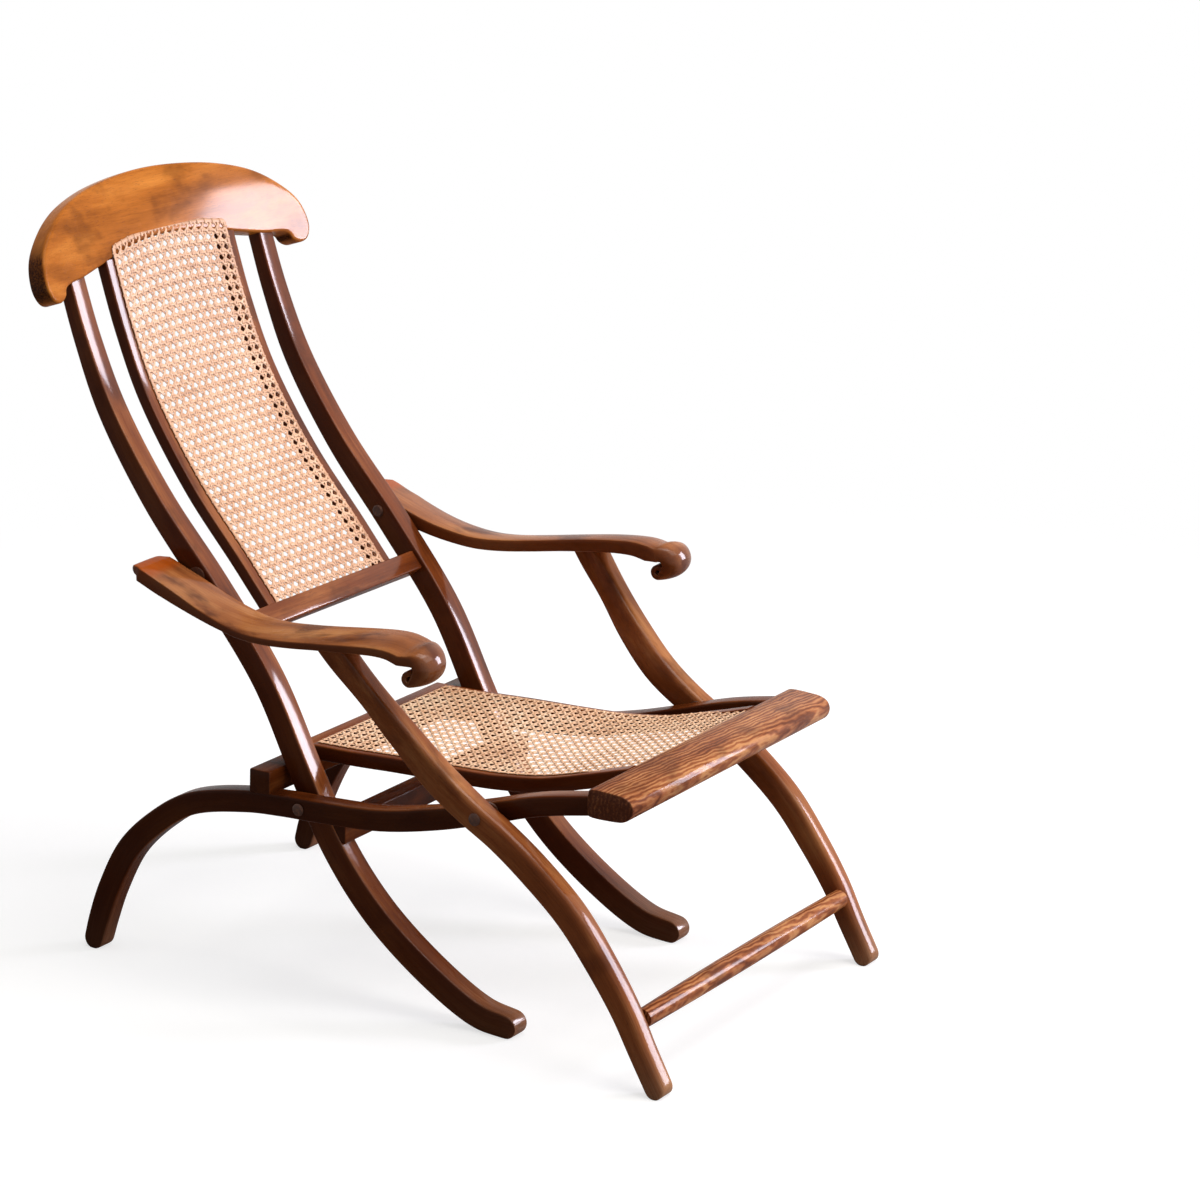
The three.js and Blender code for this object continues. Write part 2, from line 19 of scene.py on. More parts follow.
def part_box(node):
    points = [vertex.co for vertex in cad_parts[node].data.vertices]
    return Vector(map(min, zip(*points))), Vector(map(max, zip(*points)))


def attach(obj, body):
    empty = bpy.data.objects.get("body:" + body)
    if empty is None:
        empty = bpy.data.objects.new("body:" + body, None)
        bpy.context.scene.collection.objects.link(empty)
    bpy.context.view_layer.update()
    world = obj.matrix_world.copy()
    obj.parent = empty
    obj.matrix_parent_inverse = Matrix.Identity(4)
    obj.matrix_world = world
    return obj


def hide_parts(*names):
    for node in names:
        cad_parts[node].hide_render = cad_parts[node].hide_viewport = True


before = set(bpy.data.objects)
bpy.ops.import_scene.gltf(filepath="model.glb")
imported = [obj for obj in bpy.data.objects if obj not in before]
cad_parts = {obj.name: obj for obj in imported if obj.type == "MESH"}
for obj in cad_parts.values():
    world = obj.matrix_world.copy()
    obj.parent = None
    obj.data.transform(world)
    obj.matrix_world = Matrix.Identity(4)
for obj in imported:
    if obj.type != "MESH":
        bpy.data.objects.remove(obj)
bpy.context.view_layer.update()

# %% [markdown]
# ## The side view
# All curves are drawn in the side view, as shares of the span on the floor and of the height,
# so the numbers say how far along and how far up the chair a point lies. The board under the
# sitter's knees gives the place of the drawing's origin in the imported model.

# %% Sizes and the side view
MM = 0.001
SPAN = 862 * MM
HEIGHT = 965 * MM
BOARD_REAR = 131 * MM
SIDE_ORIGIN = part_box("front_board")[1].y - BOARD_REAR

STILE_DEPTH = 34 * MM
RAIL_DEPTH = 30 * MM
LEG_DEPTH = 36 * MM
STILE_SHARES = [
    (0.297, 0.0145, 0.88), (0.3445, 0.0212, 0.97), (0.4223, 0.0575, 1), (0.5186, 0.1228, 1),
    (0.5905, 0.1984, 0.97), (0.6485, 0.2907, 0.94), (0.7146, 0.4005, 0.91), (0.8121, 0.5098, 0.92),
    (0.9118, 0.6124, 0.83), (0.9919, 0.7192, 0.74), (1.0348, 0.8041, 0.63), (1.0615, 0.8715, 0.58),
    (1.0775, 0.9171, 0.56),
]
RAIL_SHARES = [
    (0.125, 0.346, 0.8), (0.2332, 0.3264, 0.84), (0.3225, 0.301, 0.9), (0.4026, 0.2798, 0.92),
    (0.4907, 0.2632, 0.92), (0.5812, 0.257, 0.93), (0.6589, 0.2539, 0.93), (0.7193, 0.2492, 0.95),
    (0.8144, 0.229, 0.96), (0.8724, 0.1948, 1), (0.9229, 0.1487, 1.03), (0.9582, 0.087, 1.03),
    (0.9756, 0.0415, 1), (0.9838, 0.0142, 0.95),
]
LEG_SHARES = [
    (0.0128, 0.0124, 0.7), (0.0394, 0.0539, 0.73), (0.0684, 0.101, 0.79), (0.109, 0.1534, 0.86),
    (0.1578, 0.2067, 0.92), (0.2193, 0.2539, 0.94), (0.2715, 0.287, 0.92), (0.3208, 0.313, 0.94),
    (0.3765, 0.3477, 1), (0.4299, 0.3943, 0.93), (0.4768, 0.4415, 0.8), (0.5174, 0.4829, 0.9),
    (0.5452, 0.515, 0.95),
]
SEAT_SHARES = [
    (0.137, 0.3684, 1), (0.2158, 0.3472, 1), (0.2935, 0.3285, 1), (0.3631, 0.3202, 1),
    (0.4269, 0.3171, 1), (0.5313, 0.314, 1), (0.6009, 0.3109, 1), (0.674, 0.3093, 1),
]
ARM_SHARES = [
    (0.8956, 0.5318, 0.84, 0.04, 0.83), (0.893, 0.5298, 0.98, 0.01, 0.87),
    (0.884, 0.5268, 1.06, 0, 0.89), (0.8701, 0.5222, 1.1, 0, 0.9),
    (0.848, 0.514, 1.12, 0, 0.9), (0.8283, 0.508, 1.12, 0, 0.91), (0.8086, 0.502, 1.1, 0, 0.91),
    (0.7715, 0.4927, 1, 0, 0.92), (0.7343, 0.4855, 0.95, 0.01, 0.93),
    (0.6903, 0.4803, 0.9, 0.02, 0.95),
    (0.6508, 0.4808, 0.9, 0.04, 0.96), (0.5986, 0.4862, 0.9, 0.04, 0.98),
    (0.5545, 0.492, 0.9, 0.04, 0.99), (0.5174, 0.4962, 0.95, 0.04, 1),
    (0.4849, 0.4995, 1, 0.05, 1.01), (0.4501, 0.502, 1.04, 0.06, 1.02),
    (0.4269, 0.501, 1.12, 0.09, 1.03), (0.4083, 0.4965, 1.24, 0.13, 1.04),
]
CREST_SHARES = [
    (0, 1), (0.26, 0.955), (0.5, 0.84), (0.71, 0.64), (0.86, 0.37), (0.965, 0.06), (1, -0.2),
    (1, -0.42), (0.965, -0.58), (0.91, -0.61), (0.866, -0.54), (0.845, -0.44), (0.8, -0.385),
    (0.7, -0.345), (0.55, -0.25), (0.38, -0.135), (0.19, -0.035),
]
LOWER_RAIL_SHARE = 0.545
SPLAY = 32 * MM
LEG_SPLAY_SHARES = (0.33, 0.545)
ARM_SPLAY_SHARES = (0.47, 0.8283)


def smooth_line(points, closed=False, steps=12):
    """A centripetal Catmull-Rom line through the points, with even steps in each stretch."""
    p = np.array(points, float)
    count = len(p)
    line = []
    for i in range(count if closed else count - 1):
        if closed:
            a, b, c, d = (p[(i + k) % count] for k in (-1, 0, 1, 2))
        else:
            b, c = p[i], p[i + 1]
            a = p[i - 1] if i else 2 * b - c
            d = p[i + 2] if i + 2 < count else 2 * c - b
        gaps = [max(np.dot(q - r, q - r) ** 0.25, 1e-6) for q, r in ((b, a), (c, b), (d, c))]
        leave = ((b - a) / gaps[0] - (c - a) / (gaps[0] + gaps[1]) + (c - b) / gaps[1]) * gaps[1]
        enter = ((c - b) / gaps[1] - (d - b) / (gaps[1] + gaps[2]) + (d - c) / gaps[2]) * gaps[1]
        for k in range(steps):
            t = k / steps
            line.append((2 * t**3 - 3 * t**2 + 1) * b + (t**3 - 2 * t**2 + t) * leave
                        + (3 * t**2 - 2 * t**3) * c + (t**3 - t**2) * enter)
    if not closed:
        line.append(p[-1])
    return np.array(line)


def smooth_share(value, low, high):
    """0 below low, 1 above high, and a smooth step between them."""
    t = np.clip((value - low) / (high - low), 0, 1)
    return t * t * (3 - 2 * t)


def side_line(shares, depth, steps=12):
    """Rows of along (Y), up (Z) and depth in metres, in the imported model's frame."""
    points = [(SPAN * a, HEIGHT * u, depth * d) for a, u, d in shares]
    line = smooth_line(points, steps=steps)
    line[:, 0] += SIDE_ORIGIN
    return line


def sides_of(line):
    """Unit tangents and unit normals, the normals towards the chair's upper and front side."""
    tangent = np.gradient(line[:, :2], axis=0)
    tangent /= np.linalg.norm(tangent, axis=1)[:, None]
    return tangent, np.stack([-tangent[:, 1], tangent[:, 0]], axis=1)


print("side view origin", round(SIDE_ORIGIN, 4))

# %% [markdown]
# ## The camera
# The camera stands to the chair's front right and a little above it, about five metres away,
# behind a long lens, as the view of the three pairs of feet on the floor shows.

# %% Camera
LENS_LENGTH = 4193.78
IMAGE_WIDTH = 1200
CAMERA_PLACE = Vector((-4.3185, SIDE_ORIGIN - 2.1692, 1.8735))
CAMERA_RIGHT = Vector((0.49926, -0.8658, 0.03365))
CAMERA_UP = Vector((0.21369, 0.16067, 0.9636))
CAMERA_AHEAD = Vector((0.83969, 0.47389, -0.26522))

camera_data = bpy.data.cameras.new("camera")
camera_data.sensor_width = 36
camera_data.lens = LENS_LENGTH * camera_data.sensor_width / IMAGE_WIDTH
camera_data.clip_start, camera_data.clip_end = 0.1, 100
camera = bpy.data.objects.new("camera", camera_data)
turn = Matrix((CAMERA_RIGHT, CAMERA_UP, -CAMERA_AHEAD)).transposed().to_4x4()
camera.matrix_world = Matrix.Translation(CAMERA_PLACE) @ turn
bpy.context.scene.collection.objects.link(camera)
bpy.context.scene.camera = camera
print("camera", [round(v, 3) for v in CAMERA_PLACE], "lens", round(camera_data.lens, 2))

# %% [markdown]
# ## Nodes as expressions
# A wood or cane finish mixes many patterns, and a weave needs a lot of arithmetic. With a small
# class that overloads the operators, both read like the sums they are. A second class adds any
# other node, in a material or in a Geometry Nodes tree.


# %% Classes for node expressions
class Socket:
    """An output of a node. Sums, products and quotients of these add their Math nodes."""

    def __init__(self, nodes, socket):
        self.nodes, self.socket = nodes, socket

    def other(self, name):
        """Another output of the same node."""
        return Socket(self.nodes, self.socket.node.outputs[name])

    def math(self, operation, *others):
        return self.nodes.node("ShaderNodeMath", {"operation": operation},
                               dict(enumerate((self, *others))))

    def __add__(self, other):
        return self.math("ADD", other)

    def __mul__(self, other):
        return self.math("MULTIPLY", other)

    def __sub__(self, other):
        return self.math("SUBTRACT", other)

    def __rsub__(self, other):
        return self * -1 + other

    def __truediv__(self, other):
        return self.math("DIVIDE", other)

    __radd__, __rmul__ = __add__, __mul__

    def clamp(self):
        return self.nodes.node("ShaderNodeClamp", {}, {0: self})

    def between(self, low, high):
        """0 below low, 1 above high, and smooth in between."""
        return self.nodes.node("ShaderNodeMapRange", {"interpolation_type": "SMOOTHSTEP"},
                               {"Value": self, "From Min": low, "From Max": high})


class Nodes:
    """Adds nodes to a tree. Their inputs take numbers, tuples or the sockets of other nodes."""

    def __init__(self, tree):
        self.tree = tree

    def node(self, kind, settings, values, output=0):
        made = self.tree.nodes.new(kind)
        for key, value in settings.items():
            if key == "stops":
                self.set_stops(made.color_ramp, value)
            else:
                setattr(made, key, value)
        for key, value in values.items():
            self.feed(made.inputs[key], value)
        return Socket(self, made.outputs[output])

    def set_stops(self, ramp, stops):
        stops = list(stops)
        while len(ramp.elements) < len(stops):
            ramp.elements.new(0.5)
        for element, (place, colour) in zip(ramp.elements, stops):
            element.position = place
            element.color = (*colour, 1)

    def feed(self, entry, value):
        if isinstance(value, Socket):
            self.tree.links.new(value.socket, entry)
        elif isinstance(value, list):
            for one in value:
                self.feed(entry, one)
        else:
            entry.default_value = value


class Finish(Nodes):
    """A material with a Principled shader, and the nodes that its patterns need."""

    def __init__(self, name):
        self.material = bpy.data.materials.new(name)
        self.material.use_nodes = True
        super().__init__(self.material.node_tree)

    def show(self, values):
        """Feeds the shader, by the names of its inputs."""
        for name, value in values.items():
            self.feed(self.tree.nodes["Principled BSDF"].inputs[name], value)

    def noise(self, place, scale, detail=3.0, roughness=0.5, distortion=0.0):
        return self.node("ShaderNodeTexNoise", {},
                         {"Vector": place, "Scale": scale, "Detail": detail,
                          "Roughness": roughness, "Distortion": distortion})

    def scaled(self, place, factors, shift=(0, 0, 0)):
        return self.node("ShaderNodeMapping", {}, {"Vector": place, "Scale": factors,
                                                   "Location": shift})

    def tint(self, share, colour, other, dim=1.0):
        """Mixes a share of another colour, dimmed, into a colour."""
        other = tuple(v * dim for v in other)
        return self.node("ShaderNodeMix", {"data_type": "RGBA"},
                         {0: share, 6: colour, 7: (*other, 1)}, output=2)

    def toward(self, facing, way):
        """How much a surface faces one way: 1 straight at it, 0 across it."""
        return self.node("ShaderNodeVectorMath", {"operation": "DOT_PRODUCT"},
                         {0: facing, 1: way}, output="Value")

    def attribute(self, name, output):
        return self.node("ShaderNodeAttribute", {"attribute_name": name}, {}, output)

    def coordinates(self, output):
        return self.node("ShaderNodeTexCoord", {}, {}, output)

    def parts(self, vector):
        x = self.node("ShaderNodeSeparateXYZ", {}, {0: vector})
        return x, x.other(1), x.other(2)

    def bump(self, height, distance, strength=1.0):
        return self.node("ShaderNodeBump", {}, {"Height": height, "Distance": distance,
                                                "Strength": strength})


print("node classes ready")

# %% [markdown]
# ## Stained and polished hardwood
# The wood was stained red-brown and polished by hand. It has long dark pores along the grain,
# broad bands where the saw cut across the growth rings, and paler spots where hands and feet
# rubbed the stain away. Each wooden piece carries an attribute named grain, with the distance
# along the piece, across it and through it, so the pores follow every bend. A second attribute
# says how much a place was rubbed; on the crest and the front board it says instead how dark a
# place is painted, mostly as painted shade. Faces that look sideways are painted darker too, as
# painted shade. Gloss comes from the coat alone, and it lies on the faces that look to the front
# and up.

# %% Wood finish
# For each pattern: how often it changes in a metre along, across and through the wood, where it
# starts, and its detail, roughness and distortion
WOOD_PATTERNS = {
    "sway": ((6, 26, 26), (0, 0, 0), 2.0, 0.5, 0.0),
    "pores": ((70, 1700, 1700), (0, 0, 0), 2.0, 0.6, 0.0),
    "fibre": ((16, 480, 480), (0, 0, 0), 3.0, 0.55, 0.0),
    "rings": ((3.5, 110, 70), (0, 0, 0), 2.0, 0.5, 0.6),
    "blotch": ((14, 24, 24), (3, 1, 2), 3.0, 0.55, 0.0),
    "smears": ((12, 30, 30), (1, 5, 2), 3.0, 0.6, 0.0),
}
FLAME_SCALE, FLAME_START = (4.5, 11, 11), (0.4, 0.2, 0.1)
SWAY_SHARE, RING_SHARE, FIBRE_SHARE = 0.9, 0.45, 0.4
TONE_STOPS = (0.2, 0.5, 0.8)
STAIN_RANGE, PORE_RANGE, FIBRE_RANGE = (0.5, 0.68), (0.3, 0.42), (0.3, 0.7)
SIDE_RANGE, FRONT_RANGE, GLOSS_RANGE = (0.55, 0.9), (0.25, 0.8), (0.45, 0.85)
STAIN_DIM, PORE_DIM, PORE_SHARE = 0.7, 0.35, 0.5
FRONT_WAY, GLOSS_WAY = (0, -1, 0), (0, -0.9, 0.43)
POLISH, SMEAR_ROUGH, PORE_ROUGH, WEAR_ROUGH = 0.26, 0.16, 0.12, 0.15
SMEAR_COAT, COAT_ROUGH, WOOD_SPECULAR = 0.12, 0.1, 0.02
WOOD_RELIEF, WOOD_BUMP = 0.2 * MM, 0.4


def wood_finish(name, dark, middle, light, wear_and_shade_colour, coat, stain=0.5, figure=0.7, flame=0.0,
                sides=0.6, front=0.0, polished=None):
    """Wood in three tones, with a colour for worn places, which on some pieces paints shade
    instead.

    Stain is the strength of dark blotches, figure that of rings and fibres, flame that of the
    arches of a flat-sawn board. Sides is painted shade: how much darker the faces that look
    sideways are drawn, as they stand in shade. Front says how much darker the faces that look to
    the front are. Polished is the range over which the gloss of a board grows from one corner to
    the other.
    """
    finish = Finish(name)
    grain, wear = finish.attribute("grain", "Vector"), finish.attribute("wear", "Fac")
    sway, pores, fibre, rings, blotch, smears = (
        finish.noise(finish.scaled(grain, often, start), 1.0, *rest)
        for often, start, *rest in WOOD_PATTERNS.values())
    figured = (rings - 0.5) * RING_SHARE + (fibre - 0.5) * FIBRE_SHARE
    tone = (sway - 0.5) * SWAY_SHARE + figured * figure + 0.5
    if flame > 0:
        arches = finish.node("ShaderNodeTexWave",
                             {"wave_type": "RINGS", "rings_direction": "SPHERICAL"},
                             {"Vector": finish.scaled(grain, FLAME_SCALE, FLAME_START),
                              "Scale": 5.0, "Distortion": 7.0, "Detail": 2.0, "Detail Scale": 1.2},
                             output="Fac")
        tone = tone + (arches - 0.5) * flame
    colour = finish.node("ShaderNodeValToRGB", {"stops": zip(TONE_STOPS, (dark, middle, light))},
                         {"Fac": tone.clamp()})
    colour = finish.tint(blotch.between(*STAIN_RANGE) * stain, colour, dark, STAIN_DIM)
    smooth = pores.between(*PORE_RANGE)
    colour = finish.tint((1 - smooth) * PORE_SHARE, colour, dark, PORE_DIM)
    # The wear attribute mixes in the colour for worn places; on the crest and the front board that
    # colour is dark and paints shade.
    wear_and_shade_share = (wear * (fibre.between(*FIBRE_RANGE) * 0.5 + 0.6)).clamp()
    colour = finish.tint(wear_and_shade_share, colour, wear_and_shade_colour)
    facing = finish.coordinates("Normal")
    # Painted shade: faces that look sideways are drawn darker, as they stand in shade.
    sideways = finish.parts(facing)[0].math("ABSOLUTE")
    colour = finish.tint(sideways.between(*SIDE_RANGE) * sides, colour, dark)
    if front > 0:
        ahead = finish.toward(facing, FRONT_WAY)
        colour = finish.tint(ahead.between(*FRONT_RANGE) * front, colour, dark)
    gloss = finish.toward(facing, GLOSS_WAY).between(*GLOSS_RANGE) * coat
    if polished:
        x, _, z = finish.parts(finish.coordinates("Object"))
        gloss = gloss * (x - z * 2).between(*polished)
    finish.show({
        "Base Color": colour,
        "Roughness": ((smears - 0.5) * SMEAR_ROUGH + POLISH + (1 - smooth) * PORE_ROUGH
                      + wear * WEAR_ROUGH),
        "Normal": finish.bump(smooth * 0.6 + fibre * 0.4, WOOD_RELIEF, WOOD_BUMP),
        "Specular IOR Level": WOOD_SPECULAR,
        "Coat Weight": gloss + smears * SMEAR_COAT,
        "Coat Roughness": COAT_ROUGH,
    })
    return finish.material


RED_WOOD = wood_finish("red_wood", (0.065, 0.012, 0.003), (0.18, 0.043, 0.01), (0.36, 0.12, 0.034),
                       wear_and_shade_colour=(0.32, 0.17, 0.09), coat=0.5, sides=0.75)
DARK_WOOD = wood_finish("dark_wood", (0.04, 0.008, 0.002), (0.12, 0.026, 0.005),
                        (0.26, 0.08, 0.02), wear_and_shade_colour=(0.26, 0.13, 0.07), coat=0.1, sides=0.8)
LEG_WOOD = wood_finish("leg_wood", (0.1, 0.02, 0.005), (0.28, 0.08, 0.022), (0.52, 0.22, 0.075),
                       wear_and_shade_colour=(0.34, 0.2, 0.11), coat=0.25, sides=0.35)
ARM_WOOD = wood_finish("arm_wood", (0.11, 0.024, 0.006), (0.33, 0.108, 0.032),
                       (0.58, 0.26, 0.09), wear_and_shade_colour=(0.38, 0.065, 0.003), coat=0.45, stain=0.8,
                       figure=0.5, sides=0.85, front=0.6)
# The crest's dark colour for worn places is painted shade: the ear_shade mask draws the ears' outer
# edges dark with it.
CREST_WOOD = wood_finish("crest_wood", (0.18, 0.045, 0.005), (0.43, 0.13, 0.018),
                         (0.62, 0.225, 0.04), wear_and_shade_colour=(0.04, 0.009, 0.003), coat=0.36, sides=0.0,
                         polished=(-1.84, -1.72))
# The front board's dark colour for worn places paints shade on the board's ends, where it also
# stands for end grain that drinks the stain, and darkens the strip beside the cane.
PALE_WOOD = wood_finish("pale_wood", (0.14, 0.034, 0.01), (0.33, 0.1, 0.032), (0.56, 0.25, 0.095),
                        wear_and_shade_colour=(0.07, 0.018, 0.008), coat=0.15, figure=1.0, flame=0.42, sides=0.0)
print("wood finishes ready")

# %% [markdown]
# ## Iron and cane finishes
# The pivots are dark iron that has browned. The cane is the glossy skin of a climbing palm: long
# fibres, a tone of its own for each strand, and darker spots where a joint of the stem was.

# %% Iron and cane finishes
IRON_BROWN, IRON_RUST = (0.05, 0.016, 0.008), (0.11, 0.034, 0.012)
IRON_ROUGH, RUST_ROUGH = 0.32, 0.4
IRON_METAL, RUST_METAL = 0.4, 0.3
FIBRES_PER_METRE = 1400
JOINTS_PER_STRAND = 7.0
JOINT_RANGE, JOINT_DIM, JOINT_SHARE = (0.95, 0.985), 0.55, 0.45
CANE_STOPS = (0.1, 0.5, 0.9)
CANE_SPECULAR, CANE_ROUGH = 0.45, 0.42


def iron_finish():
    finish = Finish("iron")
    rust = finish.noise(finish.coordinates("Object"), 260.0, 4.0, 0.6)
    finish.show({
        "Base Color": finish.tint(rust.between(0.45, 0.7), (*IRON_BROWN, 1), IRON_RUST),
        "Roughness": rust * RUST_ROUGH + IRON_ROUGH,
        "Metallic": IRON_METAL - rust.between(0.5, 0.75) * RUST_METAL,
        "Normal": finish.bump(rust, 0.2 * MM),
    })
    return finish.material


def cane_finish(name, deep, middle, pale):
    finish = Finish(name)
    place = finish.coordinates("Object")
    strand, along = finish.attribute("strand", "Fac"), finish.attribute("along", "Fac")
    spots = finish.noise(place, 90.0, 3.0, 0.6)
    clouds = finish.noise(place, 11.0, 2.0)
    fibres = finish.noise(finish.scaled(place, (FIBRES_PER_METRE,) * 3), 1.0, 2.0)
    joints = (along * JOINTS_PER_STRAND + strand * 9.0).math("FRACT").between(*JOINT_RANGE)
    tone = strand * 0.4 + (spots - 0.5) * 0.5 + (clouds - 0.5) * 0.7 + (fibres - 0.5) * 0.25 + 0.32
    colour = finish.node("ShaderNodeValToRGB", {"stops": zip(CANE_STOPS, (deep, middle, pale))},
                         {"Fac": tone.clamp()})
    finish.show({
        "Base Color": finish.tint(joints * JOINT_SHARE, colour, deep, JOINT_DIM),
        "Roughness": (spots - 0.5) * 0.2 + CANE_ROUGH,
        "Normal": finish.bump(fibres, 0.1 * MM, 0.5),
        "Specular IOR Level": CANE_SPECULAR,
    })
    return finish.material


IRON = iron_finish()
SEAT_CANE = cane_finish("seat_cane", (0.5, 0.23, 0.1), (0.88, 0.53, 0.31), (0.95, 0.72, 0.5))
BACK_CANE = cane_finish("back_cane", (0.46, 0.22, 0.11), (0.72, 0.41, 0.24), (0.87, 0.59, 0.4))
print("iron and cane finishes ready")

# %% [markdown]
# ## Helpers for wooden pieces
# A piece is a stack of rings with the same number of points. Its edges are rounded with small
# arcs, and each flat side keeps a point close to each arc, so that it also shades flat. After
# the shape is cut and finished, every vertex gets its grain place and its wear, which on the
# crest and the front board is mostly painted shade instead.


# %% Helpers for wooden pieces
SOFTEST_SHARE = 0.98
SHARP_ANGLE, BOARD_SHARP_ANGLE, TURNED_SHARP_ANGLE = 38, 50, 40


def corner_arc(centre, reach_x, reach_y, quarter, steps):
    """Points on a quarter of an ellipse round a centre."""
    turns = [(quarter + k / steps) * math.pi / 2 for k in range(steps + 1)]
    return [(centre[0] + reach_x * math.cos(a), centre[1] + reach_y * math.sin(a)) for a in turns]


def rounded_ring(half_width, half_depth, radii, arc_steps=5):
    """Points round a rectangle with a radius for each corner, from the outer upper corner."""
    ring = []
    corners = [(1, 1, 0), (-1, 1, 1), (-1, -1, 2), (1, -1, 3)]
    for (side_x, side_y, quarter), radius in zip(corners, radii):
        radius = min(radius, half_width * SOFTEST_SHARE, half_depth * SOFTEST_SHARE)
        centre = ((half_width - radius) * side_x, (half_depth - radius) * side_y)
        ring += corner_arc(centre, radius, radius, quarter, arc_steps)
    return ring


def add_rows(mesh, rings):
    """Adds the points of the rings, and a band of faces between each ring and the next."""
    rows = [[mesh.verts.new(p) for p in ring] for ring in rings]
    count = len(rows[0])
    for below, above in zip(rows, rows[1:]):
        for i in range(count):
            k = (i + 1) % count
            mesh.faces.new((below[i], below[k], above[k], above[i]))
    return rows


def stack_rings(rings):
    """A closed mesh from a stack of rings."""
    mesh = bmesh.new()
    rows = add_rows(mesh, rings)
    mesh.faces.new(list(reversed(rows[0])))
    mesh.faces.new(rows[-1])
    return mesh


def cut_flat(mesh, point, normal, soften=0):
    """Removes what lies beyond the plane, closes the cut and softens its edge."""
    geometry = mesh.verts[:] + mesh.edges[:] + mesh.faces[:]
    made = bmesh.ops.bisect_plane(mesh, geom=geometry, plane_co=point, plane_no=normal,
                                  clear_outer=True, dist=1e-6)
    edges = [e for e in made["geom_cut"] if isinstance(e, bmesh.types.BMEdge)]
    if not edges:
        return
    bmesh.ops.holes_fill(mesh, edges=edges, sides=0)
    if soften:
        rim = [e for e in edges if e.is_valid and len(e.link_faces) == 2]
        bmesh.ops.bevel(mesh, geom=rim, offset=soften, segments=2, profile=0.5, affect="EDGES",
                        clamp_overlap=True)


def finish_mesh(name, mesh, sharp_angle=SHARP_ANGLE):
    bmesh.ops.recalc_face_normals(mesh, faces=mesh.faces)
    data = bpy.data.meshes.new(name)
    mesh.to_mesh(data)
    mesh.free()
    data.shade_smooth()
    data.set_sharp_from_angle(angle=math.radians(sharp_angle))
    piece = bpy.data.objects.new(name, data)
    bpy.context.scene.collection.objects.link(piece)
    return piece


def vertex_places(piece):
    flat = np.zeros(len(piece.data.vertices) * 3)
    piece.data.vertices.foreach_get("co", flat)
    return flat.reshape(-1, 3)


def step_lengths(line):
    return np.linalg.norm(np.diff(line[:, :2], axis=0), axis=1)


def write_values(piece, name, values):
    kind = "FLOAT" if values.ndim == 1 else "FLOAT_VECTOR"
    entry = piece.data.attributes.new(name, kind, "POINT")
    entry.data.foreach_set("value" if values.ndim == 1 else "vector",
                           values.astype(np.float32).ravel())


def write_grain(piece, grain, wear, places, through):
    write_values(piece, "grain", np.stack(grain, axis=1))
    write_values(piece, "wear", wear(places, through) if wear else np.zeros(len(places)))


def grain_along_line(piece, line, seed, wear=None):
    """Grain and wear for a piece that follows a side view line."""
    places = vertex_places(piece)
    tangent, normal = sides_of(line)
    lengths = np.concatenate([[0], np.cumsum(step_lengths(line))])
    gap = places[:, None, 1:] - line[None, :, :2]
    nearest = np.argmin((gap**2).sum(axis=2), axis=1)
    offset = places[:, 1:] - line[nearest, :2]
    along = lengths[nearest] + (offset * tangent[nearest]).sum(axis=1)
    through = (offset * normal[nearest]).sum(axis=1)
    grain = along + seed, places[:, 0] + seed * 3.1, through
    write_grain(piece, grain, wear, places, through)


def grain_across(piece, seed, wear=None):
    """Grain and wear for a piece whose wood runs from one side of the chair to the other."""
    places = vertex_places(piece)
    grain = places[:, 0] + seed, places[:, 1] + seed * 2.3, places[:, 2]
    write_grain(piece, grain, wear, places, places[:, 2])


def dress(piece, material, body, slot, *nodes):
    piece.data.materials.append(material)
    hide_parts(*nodes)
    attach(piece, body)
    print(piece.name, len(piece.data.vertices), "points")


def dress_curve(name, side, mesh, line, seed, wear, material, body, slot, node):
    """Finishes a piece that follows a side view line, on one side of the chair."""
    piece = finish_mesh(f"{name}_curve_{side}", mesh)
    grain_along_line(piece, line, seed, wear)
    dress(piece, material, body, slot, f"{node}_{side}")


def both_sides(build):
    """Calls build for the left side, +1, and for the right side, -1."""
    for sign, side in ((1, "left"), (-1, "right")):
        build(sign, side)


print("wood helpers ready")

# %% [markdown]
# ## The bent side members
# Each member is sawn or bent to a long curve and its edges are rounded by hand. The front legs
# have a fuller, rounder front edge than the rest. A sweep along the side view line gives the
# shape, half rings close the rounded ends, and a cut at the floor gives each foot its flat.


# %% Side members
CAP_TURNS = [math.radians(a) for a in (84, 72, 58, 44, 30, 15)]
CAP_NARROWING = 0.12
FOOT_SOFT = 0.8 * MM
FOOT_WEAR, FOOT_WEAR_HEIGHT = 0.75, 90 * MM
LEG_THICK = 32 * MM
LEG_RADII = (9 * MM, 9 * MM, 4 * MM, 4 * MM)
LEG_TOP_GAP, LEG_TOP_SOFT = 0.9 * MM, 1.2 * MM
RAIL_RADII, STILE_RADII = (3.5 * MM,) * 4, (3 * MM,) * 4
RAIL_FRONT_GAP = 0.3 * MM


